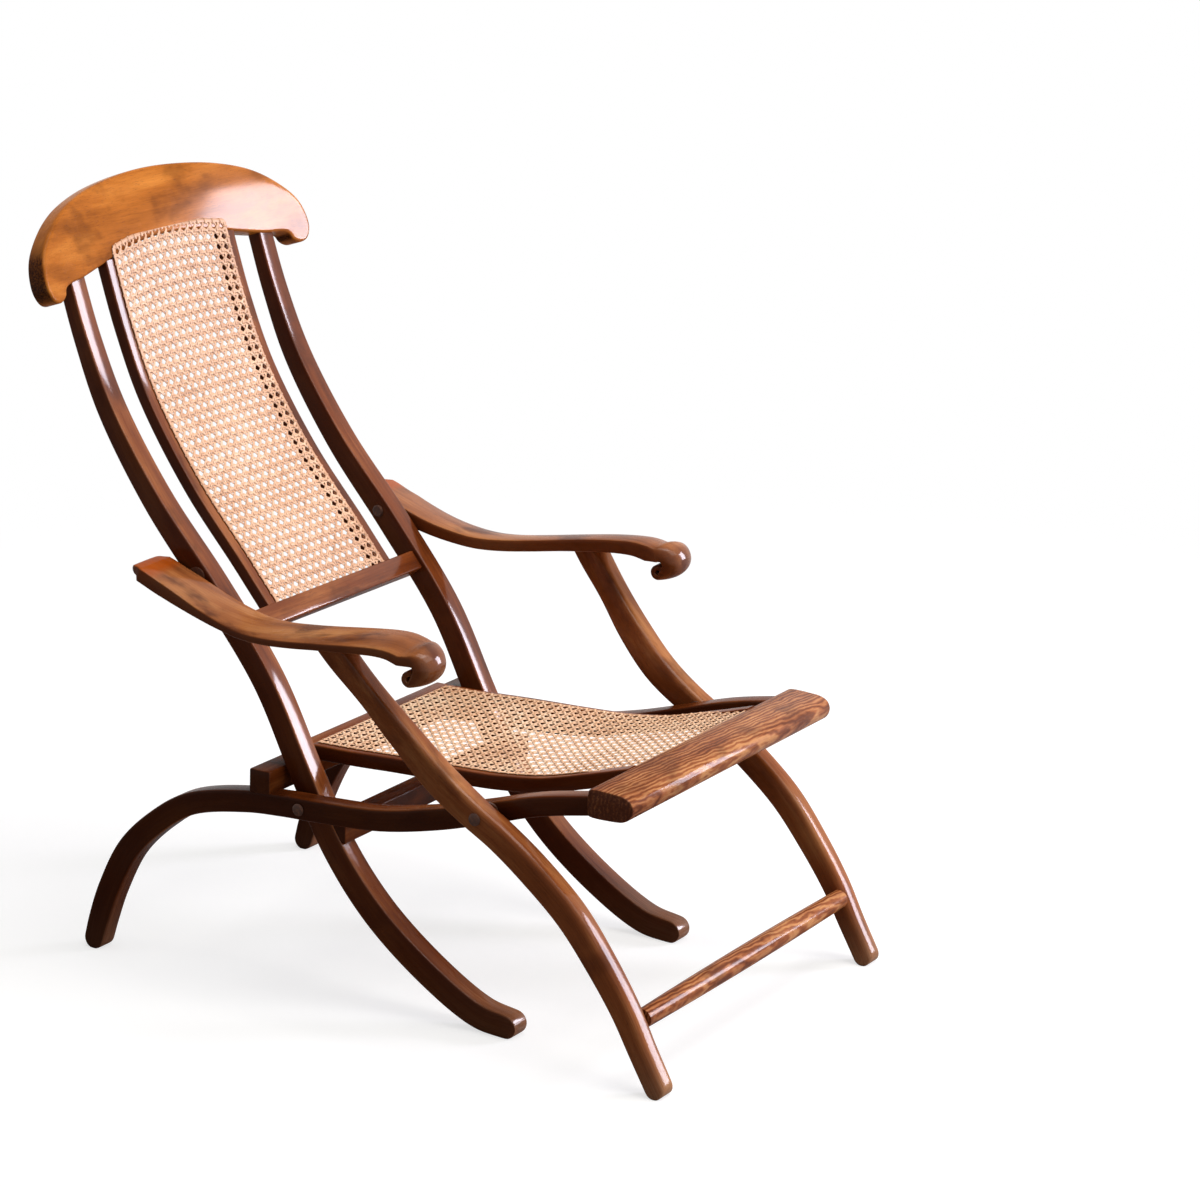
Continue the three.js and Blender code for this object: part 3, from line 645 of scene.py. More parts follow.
def member(line, low_x, high_x, radii, round_start=False, round_end=False):
    """A bar that follows a side view line between two planes across the chair."""
    tangent, normal = sides_of(line)
    middle, half_width = (low_x + high_x) / 2, abs(high_x - low_x) / 2
    rings = []

    def add_ring(index, ahead=0.0, shrink=1.0, narrow=1.0):
        centre = line[index, :2] + tangent[index] * ahead
        outline = rounded_ring(half_width * narrow, line[index, 2] / 2 * shrink,
                               [r * shrink for r in radii])
        rings.append([(middle + x, *(centre + normal[index] * d)) for x, d in outline])

    def add_cap_ring(index, way, a):
        add_ring(index, way * line[index, 2] / 2 * math.sin(a), math.cos(a),
                 1 - CAP_NARROWING * (1 - math.cos(a)))

    if round_start:
        for a in CAP_TURNS:
            add_cap_ring(0, -1, a)
    for index in range(len(line)):
        add_ring(index)
    if round_end:
        for a in reversed(CAP_TURNS):
            add_cap_ring(-1, 1, a)
    return stack_rings(rings)


def foot_wear(places, through):
    """Stain rubs off near the floor."""
    low = np.clip(1 - places[:, 2] / FOOT_WEAR_HEIGHT, 0, 1)
    return low**2 * FOOT_WEAR


def cut_at_floor(mesh):
    cut_flat(mesh, (0, 0, 0), (0, 0, -1), FOOT_SOFT)


STILE_LINE = side_line(STILE_SHARES, STILE_DEPTH)
RAIL_LINE = side_line(RAIL_SHARES, RAIL_DEPTH)
LEG_LINE = side_line(LEG_SHARES, LEG_DEPTH)
STILE_X = [v.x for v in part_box("back_stile_left")]
RAIL_X = [v.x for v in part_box("seat_rail_left")]
LEG_X = [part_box("front_leg_left")[0].x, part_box("front_leg_left")[0].x + LEG_THICK]


def build_leg(sign, side):
    low, high = sorted(sign * x for x in LEG_X)
    mesh = member(LEG_LINE, low, high, LEG_RADII, round_start=True)
    rear, front = [np.array([SPAN * a, HEIGHT * u]) for a, u, *_ in ARM_SHARES[-6:-4]]
    fall = math.atan2(front[1] - rear[1], rear[0] - front[0])
    cut_flat(mesh, (0, SIDE_ORIGIN + rear[0], rear[1] - LEG_TOP_GAP),
             (0, math.sin(fall), math.cos(fall)), LEG_TOP_SOFT)
    cut_at_floor(mesh)
    for vert in mesh.verts:
        vert.co.x += sign * SPLAY * float(smooth_share(
            vert.co.z, HEIGHT * LEG_SPLAY_SHARES[0], HEIGHT * LEG_SPLAY_SHARES[1]))
    dress_curve("leg", side, mesh, LEG_LINE, 0.4 + sign * 0.3, foot_wear, LEG_WOOD,
                "legs", "red_wood", "front_leg")


def build_rail(sign, side):
    low, high = sorted(sign * x for x in RAIL_X)
    mesh = member(RAIL_LINE, low, high, RAIL_RADII, round_end=True)
    cut_flat(mesh, (0, SIDE_ORIGIN + BOARD_REAR + RAIL_FRONT_GAP, 0), (0, -1, 0))
    cut_at_floor(mesh)
    dress_curve("rail", side, mesh, RAIL_LINE, 1.4 + sign * 0.3, foot_wear, DARK_WOOD,
                "base", "dark_wood", "seat_rail")


def build_stile(sign, side):
    low, high = sorted(sign * x for x in STILE_X)
    mesh = member(STILE_LINE, low, high, STILE_RADII, round_start=True)
    cut_at_floor(mesh)
    dress_curve("stile", side, mesh, STILE_LINE, 2.4 + sign * 0.3, foot_wear, RED_WOOD,
                "back", "red_wood", "back_stile")


both_sides(build_leg)
both_sides(build_rail)
both_sides(build_stile)

# %% [markdown]
# ## The crest rail
# The crest rail is a thick board, sawn to a low arch with drooping ears, hollowed for the
# sitter's head and leaned back. Its flat outline is filled with an even net of points, given
# a rounded edge in a few steps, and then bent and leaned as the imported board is.

# %% Crest rail
CREST_HALF = 286 * MM
CREST_RISE = 88 * MM
CREST_THICK = 27 * MM
CREST_EDGE = 4 * MM
CREST_EAR_EDGE = 5.5 * MM
CREST_CROWN = 0.9
CREST_BOW = 20 * MM
CREST_SETBACK = 935 * MM
CREST_UNDERSIDE = 874 * MM
CREST_LEAN = math.radians(19.3)
NET_STEP, NET_MARGIN = 7 * MM, 0.6
EAR_START, EAR_RANGE = 0.72, 0.2
EAR_TIP, EAR_TIP_RANGE, EAR_TIP_SHARE = -0.62, 0.3, 0.25
EAR_SHADE_START, EAR_SHADE_SIDE, EAR_SHADE_RANGE = 0.7, 0.55, 0.3


def crest_loop():
    half = [(CREST_HALF * a, CREST_RISE * u) for a, u in CREST_SHARES]
    other = [(-a, u) for a, u in reversed(half[1:])]
    return smooth_line(half + [(0, 0)] + other, closed=True, steps=8)


def inset(loop, distance):
    """The loop moved inwards. It runs clockwise, seen from the front."""
    ahead = np.roll(loop, -1, axis=0) - np.roll(loop, 1, axis=0)
    ahead /= np.linalg.norm(ahead, axis=1)[:, None]
    away = np.stack([ahead[:, 1], -ahead[:, 0]], axis=1)
    return loop + away * np.broadcast_to(distance, len(loop))[:, None]


def edge_sizes(loop):
    """The front edge is rounded more at the two ears than elsewhere."""
    ear = np.clip((np.abs(loop[:, 0]) / CREST_HALF - EAR_START) / EAR_RANGE, 0, 1)
    tip = np.clip((loop[:, 1] / CREST_RISE - EAR_TIP) / EAR_TIP_RANGE, EAR_TIP_SHARE, 1)
    return CREST_EDGE + (CREST_EAR_EDGE - CREST_EDGE) * (ear * ear * (3 - 2 * ear) * tip)


def inside(point, loop):
    x, y = loop[:, 0], loop[:, 1]
    nx, ny = np.roll(x, -1), np.roll(y, -1)
    crossing = (y > point[1]) != (ny > point[1])
    reach = (nx - x) * (point[1] - y) / np.where(crossing, ny - y, 1) + x
    return np.count_nonzero(crossing & (point[0] < reach)) % 2 == 1


def face_net(loop):
    """Triangles over a loop, with an even net of points inside it."""
    rim = [tuple(p) for p in loop]
    core = inset(loop, NET_STEP * NET_MARGIN)
    low, high = loop.min(axis=0), loop.max(axis=0)
    extra = [(x, y) for x in np.arange(low[0], high[0], NET_STEP)
             for y in np.arange(low[1], high[1], NET_STEP) if inside((x, y), core)]
    points = [Vector(p) for p in rim + extra]
    edges = [(i, (i + 1) % len(rim)) for i in range(len(rim))]
    found = delaunay_2d_cdt(points, edges, [], 1, 1e-7)
    return [tuple(p) for p in found[0]], [tuple(f) for f in found[2]], len(rim)


def lean_crest(x, up, out):
    """From the flat board to the chair: out is towards the back."""
    if out < 0:
        out += CREST_CROWN * max(up, 0) ** 2
    out = out - CREST_BOW * (x / CREST_HALF) ** 2
    y = CREST_SETBACK + out * math.cos(CREST_LEAN) + up * math.sin(CREST_LEAN)
    z = CREST_UNDERSIDE - out * math.sin(CREST_LEAN) + up * math.cos(CREST_LEAN)
    return (x, y + SIDE_ORIGIN, z)


def crest_mesh():
    loop = crest_loop()
    mesh = bmesh.new()
    half = CREST_THICK / 2
    turns = [math.pi / 2 * k / 6 for k in range(7)]
    wide = edge_sizes(loop)
    deep = np.minimum(wide, CREST_THICK * 0.4)
    rims = []
    for a in turns:
        rims.append((inset(loop, wide * (1 - math.sin(a))), -half + deep * (1 - math.cos(a))))
    for a in reversed(turns):
        back = CREST_EDGE * (1 - math.cos(a))
        rims.append((inset(loop, CREST_EDGE * (1 - math.sin(a))), np.full(len(loop), half - back)))
    rows = add_rows(mesh, [np.column_stack(rim) for rim in rims])
    for row, (ring, out) in ((rows[0], rims[0]), (rows[-1], rims[-1])):
        points, faces, rim_count = face_net(ring)
        verts = row + [mesh.verts.new((p[0], p[1], out[0])) for p in points[rim_count:]]
        for face in faces:
            mesh.faces.new([verts[i] for i in face])
    return mesh


board = crest_mesh()
for vert in board.verts:
    vert.co = lean_crest(*vert.co)
crest = finish_mesh("crest_board", board, BOARD_SHARP_ANGLE)


def ear_shade(places, up):
    """Painted shade: the rounded outer edges of the ears are drawn dark, as they stand in shade."""
    normals = np.zeros(len(places) * 3)
    crest.data.vertices.foreach_get("normal", normals)
    sideways = np.abs(normals.reshape(-1, 3)[:, 0])
    outer = np.abs(places[:, 0]) > EAR_SHADE_START * CREST_HALF
    return np.clip((sideways - EAR_SHADE_SIDE) / EAR_SHADE_RANGE, 0, 1) * outer


grain_across(crest, 4.2, ear_shade)
dress(crest, CREST_WOOD, "back", "arm_wood", "crest_rail")

# %% [markdown]
# ## The bars that cross the chair
# The stop bar, the cross rail and the rails of the seat and back are plain bars with softened
# edges. One helper makes them all from their packed boxes.


# %% Cross bars
LOWER_RAIL_HALF = (13.5 * MM, 11 * MM)
LOWER_RAIL_SOFT = 2.5 * MM


def bar(low, high, soften=2 * MM):
    mesh = bmesh.new()
    size = Vector(high) - Vector(low)
    place = Matrix.Translation((Vector(high) + Vector(low)) / 2) @ Matrix.Diagonal((*size, 1))
    bmesh.ops.create_cube(mesh, size=1, matrix=place)
    bmesh.ops.bevel(mesh, geom=mesh.edges[:], offset=soften, segments=3, profile=0.5,
                    affect="EDGES")
    return mesh


def node_bar(name, node, material, body, slot, seed):
    piece = finish_mesh(name, bar(*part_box(node)))
    grain_across(piece, seed)
    dress(piece, material, body, slot, node)


node_bar("stop_bar_block", "stop_bar", DARK_WOOD, "base", "dark_wood", 0.7)
node_bar("rear_seat_bar", "seat_rear_rail", RED_WOOD, "base", "red_wood", 1.9)
node_bar("cross_bar", "back_cross_rail", DARK_WOOD, "back", "dark_wood", 2.6)

lower_index = int(round(LOWER_RAIL_SHARE * (len(STILE_LINE) - 1)))
lower_tangent = sides_of(STILE_LINE)[0][lower_index]
lower_low, lower_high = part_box("lower_back_rail")
lower_corner = Vector((lower_high.x, *LOWER_RAIL_HALF))
lower_mesh = bar(-lower_corner, lower_corner, LOWER_RAIL_SOFT)
lower_turn = Matrix.Rotation(math.atan2(lower_tangent[1], lower_tangent[0]), 4, "X")
lower_mesh.transform(Matrix.Translation((0, *((lower_low + lower_high) / 2).yz)) @ lower_turn)
lower_rail = finish_mesh("lower_back_bar", lower_mesh)
grain_across(lower_rail, 3.3)
dress(lower_rail, RED_WOOD, "back", "red_wood", "lower_back_rail")

# %% [markdown]
# ## The front board
# The board under the knees has a flat top and a long rounded nose. Its section is swept from
# side to side, and the ends shrink a little so that their edges are soft.

# %% Front board
BOARD_DEPTH = 60 * MM
BOARD_UNDERSIDE = 317 * MM
BOARD_HEIGHT = 34 * MM
BOARD_SHARES = [
    (0, 0.05), (0, 0.95), (0.04, 1), (0.55, 1), (0.78, 0.95), (0.93, 0.82), (1, 0.6), (0.99, 0.38),
    (0.92, 0.18), (0.8, 0.05), (0.68, 0), (0.04, 0),
]
BOARD_END_STEPS = [(0, 2 * MM), (0.35 * MM, 1 * MM), (1 * MM, 0.35 * MM), (2 * MM, 0)]
BOARD_REAR_STRIP, BOARD_REAR_DARKENING = 16 * MM, 0.35
board_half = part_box("front_board")[1].x
board_line = smooth_line([(BOARD_REAR - BOARD_DEPTH * f, BOARD_UNDERSIDE + BOARD_HEIGHT * u)
                          for f, u in BOARD_SHARES], closed=True, steps=6)
board_centre = board_line.mean(axis=0)
board_ends = [(-board_half + x, into) for x, into in BOARD_END_STEPS]
board_ends += [(-x, into) for x, into in reversed(board_ends)]
rings = []
for x, into in board_ends:
    pull = board_line - board_centre
    pull *= 1 - into / np.linalg.norm(pull, axis=1)[:, None]
    rings.append([(x, SIDE_ORIGIN + board_centre[0] + p[0], board_centre[1] + p[1]) for p in pull])
knee_board = finish_mesh("knee_board", stack_rings(rings), BOARD_SHARP_ANGLE)


def board_shade(places, up):
    """Painted shade, with end grain that drinks the stain, darkens the board's ends; the strip
    beside the cane is a little darker as well.
    """
    ends = np.clip((np.abs(places[:, 0]) - board_half + 1.6 * MM) / (1.2 * MM), 0, 1)
    rear = places[:, 1] - SIDE_ORIGIN - BOARD_REAR + BOARD_REAR_STRIP
    return np.maximum(ends, np.clip(rear / (3 * MM), 0, 1) * BOARD_REAR_DARKENING)


grain_across(knee_board, 5.1, board_shade)
dress(knee_board, PALE_WOOD, "base", "pale_wood", "front_board")

# %% [markdown]
# ## Slats and seat side rails
# The cane is stretched between two slats in the back and two side rails in the seat. They
# follow the same curves as the stiles and the seat.

# %% Slats and seat side rails
SLAT_DEPTH = 16 * MM
SLAT_TOP = 864 * MM
SEAT_RAIL_HEIGHT = 19 * MM
SLAT_RADII, REAR_SOFT = (2.5 * MM,) * 4, 1 * MM
SEAT_LINE = side_line(SEAT_SHARES, SEAT_RAIL_HEIGHT)
SLAT_LINE = STILE_LINE[lower_index:].copy()
SLAT_LINE[:, 2] = SLAT_DEPTH
SLAT_X = [v.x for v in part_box("back_slat_left")]
SIDE_RAIL_X = [v.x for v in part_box("seat_side_rail_left")]


def lowered(line, drop):
    moved = line.copy()
    moved[:, :2] -= sides_of(line)[1] * drop
    return moved


def build_slat(sign, side):
    low, high = sorted(sign * x for x in SLAT_X)
    mesh = member(SLAT_LINE, low, high, SLAT_RADII)
    cut_flat(mesh, (0, 0, SLAT_TOP), (0, 0, 1))
    dress_curve("slat", side, mesh, STILE_LINE, 3.4 + sign * 0.3, None, RED_WOOD,
                "back", "red_wood", "back_slat")


def build_side_rail(sign, side):
    low, high = sorted(sign * x for x in SIDE_RAIL_X)
    mesh = member(lowered(SEAT_LINE, SEAT_RAIL_HEIGHT / 2), low, high, SLAT_RADII)
    cut_flat(mesh, (0, SIDE_ORIGIN + BOARD_REAR, 0), (0, -1, 0))
    cut_flat(mesh, (0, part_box("seat_side_rail_left")[1].y, 0), (0, 1, 0), REAR_SOFT)
    dress_curve("seat_side", side, mesh, SEAT_LINE, 4.4 + sign * 0.3, None, RED_WOOD,
                "base", "red_wood", "seat_side_rail")


both_sides(build_slat)
both_sides(build_side_rail)

# %% [markdown]
# ## The arms
# An arm is a board that dips and rises in a long wave and rolls under itself at the front in a
# scroll. Its top slopes down to the outer side, the scroll is domed and the rear end is rounded.
# Rings stand across the arm up to the scroll, and then turn with it round the scroll's middle,
# each a little smaller, to the small round eye.

# %% Arms
ARM_INSET = 224 * MM
ARM_WIDTH = 70 * MM
ARM_THICK = 20 * MM
ARM_EDGE = 1.8 * MM
ARM_END_ROUND = 8 * MM
ARM_END_REACH = 16 * MM
ARM_CROWNS = (0.5, 0.2)
ARM_DOMED = 0.3
ARM_CROWN_SHARES = (0.7, 0.87)
SCROLL_SHARES = (0.3898, 0.4948)
# Turn in degrees, share of the tip's shift, reach and thickness in mm, inner and outer edge,
# inner and outer rounding in mm, share of the thickness that is crown, share of it that is domed
SCROLL_STEPS = [
    (-16, 0, 25.4, 22.5, 0.12, 1.03, 5, 3, 0.42, 0.5),
    (8, 0, 25.6, 22.5, 0.14, 1.04, 8, 5, 0.4, 0.7), (35, 0, 25.6, 22, 0.16, 1.04, 12, 8, 0.38, 0.9),
    (65, 0, 25.6, 21.5, 0.18, 1.04, 14, 10, 0.38, 1), (95, 0, 25.5, 21, 0.2, 1.04, 14, 11, 0.36, 1),
    (130, 0.1, 24, 19.5, 0.22, 1.03, 12, 10, 0.34, 1),
    (155, 0.5, 18.8, 15, 0.23, 1.02, 9, 8, 0.3, 1), (180, 1, 12.6, 10, 0.24, 1.01, 4, 4, 0.3, 1),
    (215, 1, 12.3, 9, 0.24, 1.0, 3, 3, 0.25, 1), (250, 1, 12, 8.5, 0.24, 1.0, 3, 3, 0.2, 1),
    (290, 1, 11.4, 8, 0.24, 0.99, 2.5, 2.5, 0.15, 1),
    (330, 1, 10.6, 7.2, 0.25, 0.98, 2.5, 2.5, 0.1, 1),
    (370, 1, 9.6, 6.4, 0.26, 0.97, 2, 2, 0.1, 1), (410, 1, 8, 5, 0.27, 0.96, 1.5, 1.5, 0.1, 1),
]
SCROLL_UNITS = (math.pi / 180, 1, MM, MM, ARM_WIDTH, ARM_WIDTH, MM, MM, 1, 1)
SCROLL_TIP_SHIFT = np.array([2.5 * MM, -12.8 * MM])
CROWN_STEPS, ARM_ARC_STEPS, ARM_END_STEPS = 11, 7, 5
ARM_WEAR_START, ARM_WEAR_HEIGHT, ARM_WEAR_RISE = 0.846 * SPAN, 508 * MM, 0.3
ARM_WEAR_BLUR, ARM_WEAR_RIM, ARM_WEAR = 12 * MM, 6 * MM, 0.95


def arm_section(width, height, inner_round, outer_round, crown, domed):
    """A ring with upright sides. Its upper side is a dome, or slopes down to the outer side."""
    low_round = min(3 * MM, height * 0.3)
    side = height * (1 - crown)
    corners = [(1, 1, outer_round, min(outer_round, side * 0.6)),
               (-1, 1, inner_round, min(inner_round, side * 0.72)),
               (-1, -1, low_round, low_round), (1, -1, low_round, low_round)]
    ring = []
    for quarter, (side_x, side_y, reach_x, reach_y) in enumerate(corners):
        centre = ((width / 2 - reach_x) * side_x, (side / 2 - reach_y) * side_y)
        ring += corner_arc(centre, reach_x, reach_y, quarter, ARM_ARC_STEPS)
        if quarter == 0:
            for k in range(1, CROWN_STEPS):
                share = k / CROWN_STEPS
                ring.append(((width / 2 - outer_round) * (1 - share)
                             - (width / 2 - inner_round) * share, side / 2))
    lift = [max(0, d) / (side / 2) * (height - side)
            * (domed * (1 - (2 * x / width) ** 2) + (1 - domed) * (0.5 - x / width))
            for x, d in ring]
    return [(x, d - (height - side) / 2 + up) for (x, d), up in zip(ring, lift)]


def arm_rings(sign):
    rows = smooth_line([(SPAN * a, HEIGHT * u, ARM_THICK * t, ARM_WIDTH * i, ARM_WIDTH * o)
                        for a, u, t, i, o in ARM_SHARES], steps=7)
    centres = rows[:, :2] + np.stack([np.zeros(len(rows)), rows[:, 2] / 2], axis=1)
    tangent = np.gradient(centres, axis=0)
    tangent /= np.linalg.norm(tangent, axis=1)[:, None]
    rings = []

    def add_ring(centre, normal, section, x):
        x += SPLAY * (1 - smooth_share(centre[0] / SPAN, *ARM_SPLAY_SHARES))
        rings.append([(sign * (ARM_INSET + x + a), SIDE_ORIGIN + centre[0] + normal[0] * d,
                       centre[1] + normal[1] * d) for a, d in section])

    for turned in np.linspace(0, math.pi / 2, ARM_END_STEPS + 1)[:-1]:
        shrink = ARM_END_ROUND * (1 - math.sin(turned))
        thick, inner, outer = rows[0, 2:] + np.array([-2, 1, -1]) * shrink
        section = arm_section(outer - inner, thick, ARM_EDGE, ARM_EDGE, ARM_CROWNS[1], ARM_DOMED)
        add_ring(centres[0] + tangent[0] * ARM_END_REACH * (1 - math.cos(turned)),
                 (tangent[0, 1], -tangent[0, 0]), section, (inner + outer) / 2)
    for centre, along, (_, _, thick, inner, outer) in zip(centres, tangent, rows):
        if np.linalg.norm(centre - centres[0]) < ARM_END_REACH:
            continue
        edge = min(ARM_EDGE, thick * 0.3)
        crown = np.interp(smooth_share(centre[0] / SPAN, *ARM_CROWN_SHARES), (0, 1), ARM_CROWNS)
        section = arm_section(outer - inner, thick, edge, edge, crown, ARM_DOMED)
        add_ring(centre, (along[1], -along[0]), section, (inner + outer) / 2)
    middle = np.array([SPAN * SCROLL_SHARES[0], HEIGHT * SCROLL_SHARES[1]])
    steps = np.array(SCROLL_STEPS, float) * SCROLL_UNITS
    for turned, shift, reach, thick, inner, outer, *rounding in smooth_line(steps, steps=6):
        normal = np.array([-math.sin(turned), math.cos(turned)])
        section = arm_section(outer - inner, thick, *rounding)
        centre = middle + SCROLL_TIP_SHIFT * shift + normal * (reach - thick / 2)
        add_ring(centre, normal, section, (inner + outer) / 2)
    return rings, centres


def arm_wear(places, through):
    """Elbows rub the upper face at the rear end of the arm."""
    back = places[:, 1] - SIDE_ORIGIN - ARM_WEAR_START
    above = places[:, 2] - ARM_WEAR_HEIGHT - back * ARM_WEAR_RISE
    rear, upper = np.clip(back / ARM_WEAR_BLUR, 0, 1), np.clip(above / ARM_WEAR_RIM, 0, 1)
    return rear * upper * ARM_WEAR


def build_arm(sign, side):
    rings, centres = arm_rings(sign)
    piece = finish_mesh(f"arm_curve_{side}", stack_rings(rings), TURNED_SHARP_ANGLE)
    line = np.column_stack([centres[:, 0] + SIDE_ORIGIN, centres[:, 1], centres[:, 1] * 0])[::-1]
    grain_along_line(piece, line, 6.4 + sign * 0.3, arm_wear)
    dress(piece, ARM_WOOD, f"arm_on_{side}", "arm_wood", f"arm_{side}")


both_sides(build_arm)

# %% [markdown]
# ## The stretcher and the pivots
# The stretcher is a plain turned rod that swells a little in the middle. The pivots are iron
# bolts whose low round heads sit in the wood.


# %% Stretcher and pivots
ROD_END, ROD_SWELL = 12 * MM, 2 * MM
BOLT_RADIUS, HEAD_GAP, SHANK_PAST = 4 * MM, 0.3 * MM, 2 * MM
HEAD_PROFILE = [(0, BOLT_RADIUS), (0, 7.6 * MM), (0.8 * MM, 8 * MM), (1.5 * MM, 7.4 * MM),
                (2.1 * MM, 5 * MM), (2.4 * MM, 2 * MM)]


def turned_piece(name, profile, place, segments=48):
    """A shape turned about X. The profile has distances along X and radii."""
    turns = [2 * math.pi * k / segments for k in range(segments)]
    rings = [[(along, place[1] + radius * math.cos(a), place[2] + radius * math.sin(a))
              for a in turns] for along, radius in profile]
    return finish_mesh(name, stack_rings(rings), TURNED_SHARP_ANGLE)


def middle_of(node):
    low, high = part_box(node)
    return (low + high) / 2


rod_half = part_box("front_stretcher")[1].x
rod_profile = [(rod_half * s, ROD_END + ROD_SWELL * (1 - s * s)) for s in np.linspace(-1, 1, 41)]
rod = turned_piece("stretcher_rod", rod_profile, middle_of("front_stretcher"))
grain_across(rod, 7.7)
dress(rod, PALE_WOOD, "legs", "pale_wood", "front_stretcher")


def build_bolt(sign, side, kind, body, head_reach, shank_reach):
    """A low domed head with a short neck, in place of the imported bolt."""
    node = f"{kind}_{side}"
    head = [(head_reach + along, radius) for along, radius in HEAD_PROFILE]
    profile = [(sign * along, radius) for along, radius in [(shank_reach, BOLT_RADIUS), *head]]
    piece = turned_piece(f"{kind}_head_{side}", profile, middle_of(node), 32)
    dress(piece, IRON, body, "iron", node)


def build_bolts(sign, side):
    build_bolt(sign, side, "back_pivot_bolt", "base", RAIL_X[1] + HEAD_GAP, STILE_X[0] - SHANK_PAST)
    build_bolt(sign, side, "leg_pivot_bolt", "base", LEG_X[1] + HEAD_GAP, RAIL_X[0] - SHANK_PAST)


both_sides(build_bolts)

# %% [markdown]
# ## Woven cane
# Each panel is the usual six-way chair weave: two strands up and down, two across, and one along
# each diagonal, passing over and under in turn. The holes between them are octagons. A node
# tree draws one family of strands on a flat sheet, lifts them by a wave so that they pass over
# and under, and lays the sheet on a guide line that has the panel's curve.

# %% A class for the weave's node trees
ACROSS, ALONG = 0, 1
STRAND_SEED = 7
SKIN_POINTS, RIM_PLAY, BULGE_SINK = 6, 0.1 * MM, 0.45


